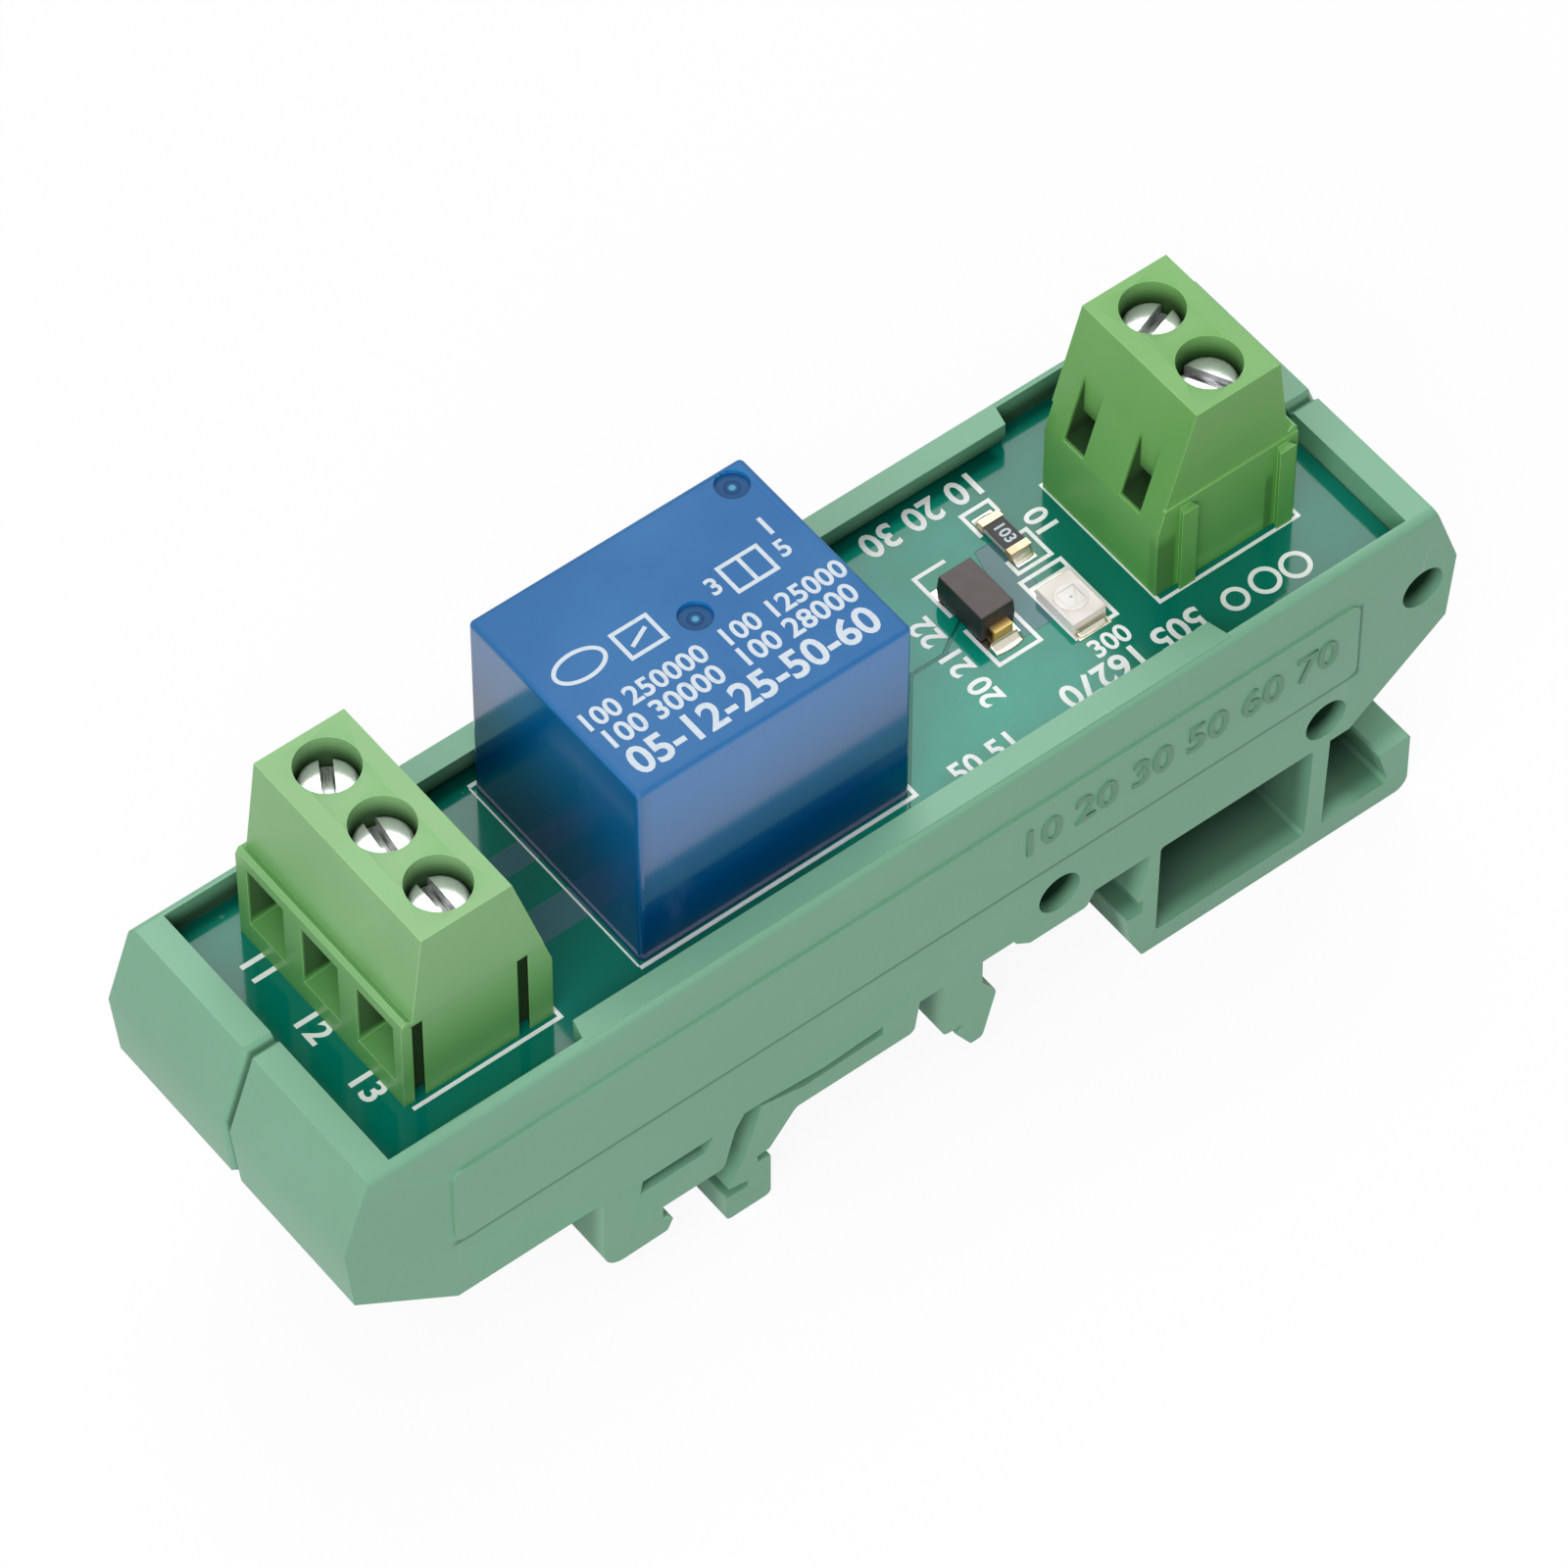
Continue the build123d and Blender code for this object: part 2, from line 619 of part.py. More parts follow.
def armature_parts():
    """The armature plate and the contact spring riveted on it, with its moving contact."""
    level = relay_levels()
    left = yoke_back
    right = coil_x + pole_radius + 0.5
    half = armature_width / 2
    plate = block(left, right, -half, half, level["armature"], level["spring"])
    half_spring = spring_width / 2
    rivets = [left + 1.6, left + 4.2]
    spring = block(left, bead_x + bead_radius, -half_spring, half_spring, level["spring"],
                   level["spring"] + spring_thick)
    bead_low = level["spring"] - bead_height
    bead_high = level["spring"] + spring_thick + bead_height
    spring += upright(bead_radius, bead_x, 0, bead_low, bead_high)
    for x in rivets:
        spring += upright(0.5, x, 0, level["spring"] - 0.4, level["spring"] + spring_thick + 0.25)
        plate -= upright(0.5, x, 0, level["spring"] - 0.4, level["spring"] + 1)
    return one(plate), one(spring), bead_low, bead_high


def fixed_contact(side, bead_from, bead_to, arm_low, arm_high):
    """A fixed contact: its pin, the strip up the end wall and the arm with its contact face."""
    x = relay_pin_x
    y = side * relay_pin_y
    half = strip_width / 2
    pin = block(x - strip_thick / 2, x + strip_thick / 2, y - 0.5, y + 0.5, pin_low, base_thick + 1)
    outer = side * (relay_pin_y + 0.5)
    riser = block(x - strip_thick / 2, x + strip_thick / 2, *sorted((outer, outer - side * strip_width)),
                  base_thick + yoke_rise, arm_high)
    arm = block(bead_x - half, x + strip_thick / 2, *sorted((outer, -side * half)), arm_low, arm_high)
    bead = upright(bead_radius, bead_x, 0, bead_from, bead_to)
    return one(pin + riser + arm + bead)


def relay():
    """All the relay's pieces, placed on the board."""
    level = relay_levels()
    where = Pos(relay_x, row_y, board_top)
    cover, base = relay_case()
    bobbin, winding, core, yoke = coil_parts()
    plate, spring, bead_low, bead_high = armature_parts()
    no_top = bead_low - contact_gap
    no_arm = no_top - bead_height
    nc_bottom = bead_high + contact_rest_gap
    nc_arm = nc_bottom + bead_height
    common = block(yoke_back - strip_thick, yoke_back, -0.5, 0.5, pin_low, base_thick + 1)
    common += block(yoke_back - strip_thick, yoke_back, -spring_width / 2, spring_width / 2,
                    base_thick + yoke_rise, level["upper_flange"])
    coil_pins = [bar(x, y, size_x, size_y, pin_low, level["winding"] + 0.8)
                 for x, y, size_x, size_y in relay_pins()[3:]]
    made = {"relay_cover": cover, "relay_base": base, "relay_bobbin": bobbin, "relay_coil_winding": winding,
            "relay_core": core, "relay_yoke": yoke, "relay_armature": plate, "relay_contact_spring": spring,
            "relay_no_contact": fixed_contact(-1, no_arm, no_top, no_arm - strip_thick, no_arm),
            "relay_nc_contact": fixed_contact(1, nc_bottom, nc_arm, nc_arm, nc_arm + strip_thick),
            "relay_common_pin": one(common), "relay_coil_pins": Compound(coil_pins)}
    for name, shape in made.items():
        pieces[name] = where * shape
    for x, y, size_x, size_y in relay_pins():
        pin_places.append((relay_x + x, row_y + y, size_x, size_y))
    hinge = (relay_x + hinge_x, row_y, board_top + level["armature"] - knife_gap / 2)
    print("armature hinge", [round(value, 4) for value in hinge])


# Board
def circuit_board():
    """The board with a hole for each pin, the solder under it and the pads for the small parts."""
    board = bar(0, 0, board_length, board_width, board_bottom, board_top)
    joints = []
    for x, y, size_x, size_y in pin_places:
        hole = (size_x ** 2 + size_y ** 2) ** 0.5 / 2 + hole_fit
        board -= upright(hole, x, y, board_bottom - 1, board_top + 1)
        cone = Pos(x, y, board_bottom - solder_height / 2) * Cone(solder_tip, solder_radius, solder_height)
        cone -= bar(x, y, size_x, size_y, board_bottom - solder_height - 1, board_top)
        joints.append(one(cone))
    pieces["circuit_board"] = one(board)
    pieces["solder_joints"] = Compound(joints)
    pads = []
    for part in (resistor, diode, led):
        x, y = part_place(part)
        for side in (-1, 1):
            middle = y + side * part["length"] / 2
            pads.append(bar(x, middle, part["width"] - 2 * pad_side, 2 * pad_over, board_top,
                            board_top + pad_thick))
    pieces["solder_pads"] = Compound(pads)


def part_place(part):
    """The x and y of a small part's middle."""
    return supply_inner_face - part["inset"], row_y + part["aside"]


def small_parts():
    """Chip resistor, diode and indicator lamp, each standing on its pads."""
    level = board_top + pad_thick
    part = resistor
    half = part["length"] / 2
    side = part["width"] / 2
    x, y = part_place(part)
    plate = part["plate"]
    core = block(x - side + plate, x + side - plate, y - half + plate, y + half - plate, level + plate,
                 level + part["height"] - plate)
    caps = []
    for end in (-1, 1):
        reach = sorted((y + end * half, y + end * (half - part["cap"])))
        caps.append(one(block(x - side, x + side, *reach, level, level + part["height"]) - core))
    pieces["chip_resistor"] = core
    pieces["resistor_end_caps"] = Compound(caps)

    part = diode
    x, y = part_place(part)
    middle = level + part["height"] / 2
    gap = 0.1
    section = Pos(x, y, middle) * Rectangle(part["width"], part["length"])
    upper = extrude(section, amount=level + part["height"] - middle, taper=part["draft"])
    lower = extrude(section, amount=-(middle - level - gap), taper=part["draft"])
    body = upper + lower
    leads = []
    for end in (-1, 1):
        face = y + end * part["length"] / 2
        out = face + end * part["lead_reach"]
        inner = face - end * 0.5
        thick = part["lead"]
        points = [(inner, middle), (out, middle), (out, level), (inner, level), (inner, level + thick - 0.13),
                  (out - end * thick, level + thick - 0.13), (out - end * thick, middle - thick),
                  (inner, middle - thick)]
        wire = Polyline(*[(x - part["lead_width"] / 2, py, pz) for py, pz in points], close=True)
        lead = extrude(make_face(wire), amount=part["lead_width"], dir=(1, 0, 0))
        leads.append(one(lead))
    for lead in leads:
        body -= lead
    pieces["diode_body"] = one(body)
    pieces["diode_leads"] = Compound(leads)

    part = led
    x, y = part_place(part)
    top = level + part["height"]
    package = bar(x, y, part["width"], part["length"], level, top)
    cup = upright(part["cup"], x, y, top - part["cup_depth"], top)
    terminals_made = []
    for end in (-1, 1):
        face = y + end * part["length"] / 2
        reach = sorted((face, face + end * part["lead"]))
        half = part["lead_width"] / 2
        terminals_made.append(block(x - half, x + half, *reach, level, level + part["height"] / 2))
    pieces["led_package"] = one(package - cup)
    pieces["led_lens"] = cup
    pieces["led_terminals"] = Compound(terminals_made)


pin_places = []
side_elements()
terminals()
relay()
circuit_board()
small_parts()

for name, shape in pieces.items():
    shape.label = name
    export_step(shape, f"parts/{name}.step")
print(len(pieces), "pieces written")
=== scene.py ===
from math import cos, pi, radians, sin

import bmesh
import bpy
import numpy as np
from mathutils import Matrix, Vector


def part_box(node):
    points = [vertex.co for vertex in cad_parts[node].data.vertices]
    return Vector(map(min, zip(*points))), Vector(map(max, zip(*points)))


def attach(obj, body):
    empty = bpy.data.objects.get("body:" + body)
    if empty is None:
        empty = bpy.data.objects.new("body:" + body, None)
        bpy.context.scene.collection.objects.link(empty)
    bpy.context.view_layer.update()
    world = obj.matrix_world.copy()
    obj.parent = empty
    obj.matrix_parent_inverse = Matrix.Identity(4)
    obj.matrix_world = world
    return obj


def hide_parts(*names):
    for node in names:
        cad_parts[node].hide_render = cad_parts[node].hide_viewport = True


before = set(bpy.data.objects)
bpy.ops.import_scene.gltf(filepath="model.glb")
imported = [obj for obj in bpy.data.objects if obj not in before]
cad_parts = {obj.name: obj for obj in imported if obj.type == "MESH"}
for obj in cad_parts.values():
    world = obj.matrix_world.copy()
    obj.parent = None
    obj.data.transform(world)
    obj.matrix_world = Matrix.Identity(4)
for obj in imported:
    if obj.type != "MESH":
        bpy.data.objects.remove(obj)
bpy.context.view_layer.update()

mm = 0.001

# Places taken from the frame, in metres
boardLow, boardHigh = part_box("circuit_board")
boardTop = boardHigh.z
relayLow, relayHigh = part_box("relay_cover")
contactLow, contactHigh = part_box("contact_terminal_body")
supplyLow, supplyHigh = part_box("supply_terminal_body")
cageLow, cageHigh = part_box("contact_wire_cage_2")
rowY = (cageLow.y + cageHigh.y) / 2
print("frame loaded:", len(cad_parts), "nodes")


# Shader maths: a Wire holds one output socket, so that an expression such as 1 - mask adds its Math nodes
class Wire:
    def __init__(self, tree, socket=None):
        self.tree = tree
        self.socket = socket

    # Any other node: its type, its settings, then the values or links of its inputs
    def add(self, kind, settings=None, inputs=None, output=0):
        node = self.tree.nodes.new(kind)
        for key, value in (settings or {}).items():
            setattr(node, key, value)
        for key, value in (inputs or {}).items():
            if isinstance(value, Wire):
                self.tree.links.new(value.socket, node.inputs[key])
            else:
                node.inputs[key].default_value = value
        return Wire(self.tree, node.outputs[output])

    def maths(self, operation, first, second=0.0):
        return self.add("ShaderNodeMath", {"operation": operation}, {0: first, 1: second})

    def __add__(self, other):
        return self.maths("ADD", self, other)

    def __radd__(self, other):
        return self.maths("ADD", other, self)

    def __sub__(self, other):
        return self.maths("SUBTRACT", self, other)

    def __rsub__(self, other):
        return self.maths("SUBTRACT", other, self)

    def __mul__(self, other):
        return self.maths("MULTIPLY", self, other)

    def __rmul__(self, other):
        return self.maths("MULTIPLY", other, self)

    def __truediv__(self, other):
        return self.maths("DIVIDE", self, other)

    def __pow__(self, other):
        return self.maths("POWER", self, other)

    # Turns a value from low..high into 0..1, kept inside those ends
    def spread(self, low, high):
        inputs = {0: self, 1: low, 2: high, 3: 0.0, 4: 1.0}
        return self.add("ShaderNodeMapRange", {"interpolation_type": "SMOOTHSTEP"}, inputs)

    # 1 up to an edge and 0 beyond it, with a slope as wide as given
    def upTo(self, edge, width):
        return 1 - self.spread(edge, edge + width)

    # 1 between two values and 0 outside them, with soft edges
    def band(self, low, high, edge=0.06):
        return self.spread(low - edge, low + edge) * (1 - self.spread(high - edge, high + edge))

    # How far this value is from another
    def away(self, other):
        return self.maths("ABSOLUTE", self - other)

    def larger(self, other):
        return self.maths("MAXIMUM", self, other)

    def smaller(self, other):
        return self.maths("MINIMUM", self, other)

    def noise(self, place, scale, detail=3.0, rough=0.5, stretch=None):
        if stretch:
            place = self.add("ShaderNodeMapping", None, {0: place, 3: stretch})
        inputs = {"Vector": place, "Scale": scale, "Detail": detail, "Roughness": rough}
        return self.add("ShaderNodeTexNoise", None, inputs)

    def blend(self, factor, first, second):
        return self.add("ShaderNodeMix", {"data_type": "RGBA"}, {0: factor, 6: first, 7: second}, output=2)

    def bump(self, height, depth, strength=1.0, normal=None):
        inputs = {"Strength": strength, "Distance": depth, "Height": height}
        if normal:
            inputs["Normal"] = normal
        return self.add("ShaderNodeBump", None, inputs)


# A colour as it is seen on screen, 0 to 255, turned to the linear values that the shader takes
def rgba(red, green, blue):
    seen = np.array([red, green, blue]) / 255
    linear = np.where(seen <= 0.04045, seen / 12.92, ((seen + 0.055) / 1.055) ** 2.4)
    return (*[float(value) for value in linear], 1.0)


# Starts a material and returns it with a Wire, the object coordinates and a function that finishes it
def startMaterial(name):
    material = bpy.data.materials.new(name)
    material.use_nodes = True
    tree = material.node_tree
    shader = tree.nodes["Principled BSDF"]
    wire = Wire(tree)
    place = wire.add("ShaderNodeTexCoord", output=3)

    def finish(**sockets):
        for key, value in sockets.items():
            target = shader.inputs[key.replace("_", " ")]
            if isinstance(value, Wire):
                tree.links.new(value.socket, target)
            else:
                target.default_value = value
        return material

    return wire, place, finish


def axisOf(wire, place, axis):
    return wire.add("ShaderNodeSeparateXYZ", None, {0: place}, output="XYZ".index(axis))


def axesInMm(wire, place):
    return [axisOf(wire, place, axis) / mm for axis in "XYZ"]


# How far the point x, y lies from another
def fromPoint(x, y, otherX, otherY):
    return ((x - otherX) ** 2.0 + (y - otherY) ** 2.0) ** 0.5


# What the moulded plastics share: slow flow clouds, a dust of handling, faint rub marks and a fine grain
def plasticWear(wire, place, look):
    flow = wire.noise(place, look["flowScale"], 2.0, 0.55, (0.45, 1.0, 1.0)).spread(0.35, 0.68)
    speck = wire.noise(place, 900.0, 2.0, 0.5).spread(0.66, 0.8)
    rub = wire.noise(place, 260.0, 5.0, 0.65, (0.25, 1.0, 0.6)).spread(0.56, 0.78)
    grain = wire.noise(place, look["grainScale"], 3.0, 0.6)
    color = wire.blend(flow, rgba(*look["color"]), rgba(*look["cloud"]))
    return color, flow, speck, rub, wire.bump(grain + 0.35 * flow, look["grainDepth"], 0.6)


def mouldedPlastic(name, look):
    wire, place, finish = startMaterial(name)
    color, flow, speck, rub, relief = plasticWear(wire, place, look)
    color = wire.blend(speck * look["speck"], color, rgba(*look["light"]))
    color = wire.blend(rub * look["rub"], color, rgba(*look["light"]))
    return finish(Base_Color=color, Roughness=look["roughness"] + 0.07 * flow + 0.08 * rub,
                  Specular_IOR_Level=look["gloss"], Normal=relief)


carrierLook = {"color": (124, 179, 147), "cloud": (131, 185, 154), "light": (160, 204, 178),
               "flowScale": 70.0, "grainScale": 5200.0, "grainDepth": 0.006 * mm, "roughness": 0.36,
               "gloss": 0.36, "speck": 0.10, "rub": 0.10}
# Hollows of the carrier in mm, each with its ends, and how much painted shade darkens them: the box foot's
# openings, the space under the tray, the slot, the round sockets, the raised panel, the back wall's inner
# side and the groove
carrierShape = {"faceY": 11.1, "footX": (15.7, 36.7), "footZ": (1.4, 14.4), "trayFoot": 9.2,
                "slotX": (-19.8, -14.4), "slotZ": (8.0, 9.2),
                "sockets": ((37.5, 18.9), (30.6, 11.85), (10.7, 11.5)), "socketRadius": 1.54,
                "panelHalf": 32.6, "panelZ": (14.9, 21.4), "wallY": (8.9, 10.62), "wallZ": (23.3, 25.3),
                "wallHalf": 36.4, "grooveFrom": 35.6, "shade": (0, 48, 20), "footShade": (0.5, 0.45),
                "trayShade": (0.3, 0.25), "slotShade": 0.9, "panelShade": 0.45, "wallShade": (0.35, 0.65),
                "wallShare": 0.85, "grooveShade": 0.6, "shadeShare": 1.06, "dull": 0.5}
# A lighter, glossier copy for the rounded edges: a painted highlight along them
carrierEdgeHighlightLook = dict(carrierLook, color=(140, 202, 156), cloud=(148, 208, 162), roughness=0.28)
# A darker copy for the moulded numbers: painted shade on the letters
shadedNumberLook = dict(carrierLook, color=(100, 152, 120), cloud=(106, 158, 126))
blackLook = {"color": (34, 31, 33), "cloud": (42, 38, 40), "light": (96, 90, 92), "flowScale": 400.0,
             "grainScale": 9000.0, "grainDepth": 0.008 * mm, "roughness": 0.45, "gloss": 0.5,
             "speck": 0.2, "rub": 0.12}
baseLook = dict(blackLook, color=(30, 30, 33), cloud=(38, 38, 42), flowScale=160.0)
bobbinLook = dict(carrierLook, color=(206, 203, 190), cloud=(214, 211, 200), light=(232, 230, 222),
                  flowScale=130.0)


def carrierPlastic(name, look):
    wire, place, finish = startMaterial(name)
    shape = carrierShape
    x, y, z = axesInMm(wire, place)
    # Painted shade in the box foot's openings, in the space under the tray, in the slot and in the round
    # sockets
    inward = shape["faceY"] - y.away(0.0)
    near, deep = inward.spread(0.15, 1.4), inward.spread(1.2, 6.0)
    dark = (shape["footShade"][0] * near + shape["footShade"][1] * deep) * z.band(*shape["footZ"], 0.15)
    dark = (dark * x.spread(shape["footX"][0] - 0.2, shape["footX"][0])
            * (x + 0.3 * z).upTo(shape["footX"][1], 0.2))
    below = (shape["trayShade"][0] * near + shape["trayShade"][1] * deep) * z.upTo(shape["trayFoot"], 0.2)
    slot = x.band(*shape["slotX"], 0.1) * z.band(*shape["slotZ"], 0.1) * inward.spread(0.1, 1.0)
    dark = dark.larger(below).larger(slot * shape["slotShade"])
    for socketX, socketZ in shape["sockets"]:
        hole = fromPoint(x, z, socketX, socketZ).upTo(shape["socketRadius"], 0.06)
        dark = dark.larger(hole * inward.spread(0.0, 1.2))

    # A line of painted shade lies under the raised panel and beside its far end
    panelLow, panelHigh = shape["panelZ"]
    under = (z.band(panelLow - 0.45, panelLow, 0.15)
             * x.band(-shape["panelHalf"], shape["panelHalf"] + 0.2, 0.4))
    beside = (x.band(shape["panelHalf"], shape["panelHalf"] + 0.3, 0.1)
              * z.band(panelLow - 0.4, panelHigh - 0.4, 0.3))
    onFace = (-1 * y).band(shape["faceY"] - 0.1, shape["faceY"] + 0.1, 0.02)
    dark = dark.larger(under.larger(beside) * onFace * shape["panelShade"])

    # Painted shade on the back wall's inner side, deeper towards the board, and in the groove
    wallLow, wallHigh = shape["wallZ"]
    lee = shape["wallShade"][0] + shape["wallShade"][1] * z.upTo(wallLow + 0.6, 1.3)
    lee = lee * z.spread(wallLow, wallLow + 0.2) * z.upTo(wallHigh, 0.12)
    inside = y.band(*shape["wallY"], 0.06) * x.away(0.0).upTo(shape["wallHalf"], 0.1)
    groove = y.away(0.0).upTo(0.08, 0.22) * x.away(0.0).spread(shape["grooveFrom"], shape["grooveFrom"] + 0.2)
    dark = dark.larger(lee * inside * shape["wallShare"]).larger(groove * shape["grooveShade"])

    color, flow, speck, rub, relief = plasticWear(wire, place, look)
    color = wire.blend((speck + rub) * 0.09, color, rgba(*look["light"]))
    color = wire.blend(dark * shape["shadeShare"], color, rgba(*shape["shade"]))
    return finish(Base_Color=color, Roughness=look["roughness"] + 0.07 * flow + shape["dull"] * dark,
                  Specular_IOR_Level=look["gloss"], Normal=relief)


# The terminals' plastic, with painted shade: deeper green towards the board and in the wells, mouths and
# windows. Lengths are in mm, and depth is counted from the face with the wire mouths.
terminalShape = {"wellRadius": 1.95, "mouthHalf": 1.7, "mouthZ": (25.2, 30.2), "windowHalf": 0.9,
                 "windowZ": (29.3, 34.2), "slotPlaces": (1.1, 8.3), "slotHalf": 0.72, "slotTop": 30.4,
                 "slopeFoot": 10.3, "slopeLow": 28.8, "slopeLean": 2.6 / 9.0,
                 "ribSides": ((8.95, 10.3), (1.75, 2.3)), "fallHeight": 10.5}
# The low colour is painted shade towards the board, and the shade colour is painted shade in the hollows
contactLook = {"part": "contact", "ahead": -1, "color": (132, 184, 120), "cloud": (139, 190, 128),
               "low": (80, 152, 72), "shade": (8, 44, 6), "light": (172, 216, 160), "roughness": 0.32,
               "gloss": 0.36, "flowScale": 130.0, "grainScale": 6000.0, "grainDepth": 0.004 * mm}
# A lighter copy for the contact terminal's rounded edges: a painted highlight
contactEdgeHighlightLook = dict(contactLook, color=(160, 208, 146), cloud=(166, 213, 154), low=(120, 184, 104))
supplyLook = dict(contactLook, part="supply", ahead=1, color=(114, 175, 92), cloud=(121, 181, 101),
                  low=(88, 162, 76), light=(150, 204, 136))
# A lighter copy for the supply terminal's rounded edges: a painted highlight
supplyEdgeHighlightLook = dict(supplyLook, color=(136, 196, 114), cloud=(142, 201, 122), low=(114, 184, 94))


def terminalPlastic(name, look):
    wire, place, finish = startMaterial(name)
    shape = terminalShape
    x, y, z = axesInMm(wire, place)
    low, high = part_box(look["part"] + "_terminal_body")
    front, end = (low.x, low.y) if look["ahead"] < 0 else (high.x, high.y)
    depth = (x - front / mm) * -look["ahead"]
    inward = (y - end / mm) * -look["ahead"]

    # Painted shade in the windows in the slanted back, the wire mouths and the dovetail slots of the end
    windowLow, windowHigh = shape["windowZ"]
    mouthLow, mouthHigh = shape["mouthZ"]
    slope = shape["slopeFoot"] - (z - shape["slopeLow"]) * shape["slopeLean"]
    cut = ((slope - depth).spread(0.1, 0.3) * depth.spread(4.8, 5.2)
           * z.band(windowLow - 0.3, windowHigh + 0.1, 0.1))
    lowCut = z.upTo(windowLow + 0.6, 2.2)
    mouth = (0.75 + 0.25 * depth.spread(0.5, 2.0)) * depth.spread(0.03, 0.2) * depth.upTo(4.2, 0.2)
    mouth = mouth * z.band(mouthLow + 0.4, mouthHigh + 0.5, 0.3)
    slots = depth.away(shape["slotPlaces"][0]).smaller(depth.away(shape["slotPlaces"][1]))
    dark = slots.upTo(shape["slotHalf"], 0.06) * inward.band(0.22, 1.4, 0.08) * z.upTo(shape["slotTop"], 0.2)
    if look["part"] == "supply":
        # Painted shade on the strips beside the ribs on the near end, which keep the light off them
        beside = depth.band(*shape["ribSides"][0], 0.12) + depth.band(*shape["ribSides"][1], 0.12)
        dark = dark.larger(beside * (y - low.y / mm).upTo(1.0, 0.3) * z.upTo(27.6, 1.2) * 0.5)
    # Painted shade in each screw's well, and in the mouth and window in line with it
    for node in [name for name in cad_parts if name.startswith(look["part"] + "_clamp_screw")]:
        screwLow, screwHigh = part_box(node)
        middle = (screwLow + screwHigh) / 2
        side = y.away(middle.y / mm)
        out = fromPoint(x, side, middle.x / mm, 0.0)
        well = out.upTo(shape["wellRadius"] + 0.06, 0.06) * z.upTo(screwHigh.z / mm - 0.2, 1.8) * 0.9
        inMouth = side.upTo(shape["mouthHalf"] + 0.03, 0.05)
        inWindow = side.upTo(shape["windowHalf"] + 0.03, 0.05)
        wall = side.spread(shape["windowHalf"] - 0.08, shape["windowHalf"] - 0.03)
        dark = dark.larger(well).larger(inMouth * mouth).larger(inWindow * cut * (0.9 * wall).larger(lowCut))

    color, flow, speck, rub, relief = plasticWear(wire, place, look)
    # Painted shade: deeper green towards the board, then the shade colour in the hollows
    fall = z.upTo(boardTop / mm, shape["fallHeight"])
    color = wire.blend(fall * 0.8, color, rgba(*look["low"]))
    color = wire.blend((speck + rub) * 0.07, color, rgba(*look["light"]))
    color = wire.blend(dark * 0.93, color, rgba(*look["shade"]))
    return finish(Base_Color=color, Roughness=look["roughness"] + 0.07 * flow + 0.5 * dark,
                  Specular_IOR_Level=look["gloss"], Normal=relief)


# Relay cover: tinted plastic with a hazy top. On its sides a painted reflection and shade make it deeper in
# colour towards the foot, and darker on the left side.
relayLook = {"topColor": (50, 110, 168), "topCloud": (58, 117, 174), "sideHigh": (8, 120, 192),
             "sideLow": (0, 62, 112), "scuff": (120, 160, 198), "ventFloor": (30, 84, 132),
             "ventGlint": (84, 164, 200), "vents": ((0.95, 6.85), (-6.35, 0.75)), "ventRadius": 1.12,
             "ventRing": (0.34, 0.52), "glintRadius": 0.16, "topRoughness": 0.42, "sideRoughness": 0.13}


def relayTopPlastic():
    wire, place, finish = startMaterial("relayTopPlastic")
    look = relayLook
    x, y, z = axesInMm(wire, place)
    flow = wire.noise(place, 110.0, 3.0, 0.6).spread(0.35, 0.7)
    scuff = wire.noise(place, 420.0, 5.0, 0.7, (0.3, 1.0, 1.0)).spread(0.62, 0.8)
    grain = wire.noise(place, 7000.0, 2.0, 0.5)
    color = wire.blend(flow, rgba(*look["topColor"]), rgba(*look["topCloud"]))
    color = wire.blend(scuff * 0.14, color, rgba(*look["scuff"]))
    below = z.upTo(relayHigh.z / mm - 0.2, 0.15)
    # Painted shade on each dimple's floor, a darker ring, and a painted glint at its middle
    for ventX, ventY in look["vents"]:
        out = fromPoint(x, y, ventX, ventY)
        color = wire.blend(below * out.upTo(look["ventRadius"], 0.04), color, rgba(*look["ventFloor"]))
        color = wire.blend(below * out.band(*look["ventRing"], 0.05), color, rgba(*look["sideLow"]))
        color = wire.blend(below * out.upTo(look["glintRadius"], 0.08), color, rgba(*look["ventGlint"]))
    return finish(Base_Color=color, Roughness=look["topRoughness"] + 0.1 * scuff, Specular_IOR_Level=0.14,
                  Normal=wire.bump(grain + 0.3 * flow, 0.004 * mm, 0.6))


def relaySidePlastic():
    wire, place, finish = startMaterial("relaySidePlastic")
    look = relayLook
    # Painted reflection and shade: the sides darken towards their foot, and the left side is darker still
    height = axisOf(wire, place, "Z").spread(relayLow.z, relayHigh.z)
    wave = wire.noise(place, 60.0, 1.0, 0.4)
    smear = wire.noise(place, 300.0, 4.0, 0.6, (1.0, 1.0, 0.3)).spread(0.55, 0.8)
    lit = 0.62 + 0.38 * axisOf(wire, place, "X").spread(relayLow.x + 0.1 * mm, relayLow.x + 1.2 * mm)
    rise = (height + 0.25 * wave - 0.12) ** 1.3 * lit
    color = wire.blend(rise, rgba(*look["sideLow"]), rgba(*look["sideHigh"]))
    color = wire.blend(smear * 0.10, color, rgba(*look["scuff"]))
    return finish(Base_Color=color, Roughness=look["sideRoughness"] + 0.10 * smear, Specular_IOR_Level=0.6,
                  Normal=wire.bump(wave, 0.06 * mm, 0.35), Coat_Weight=0.2, Coat_Roughness=0.1)


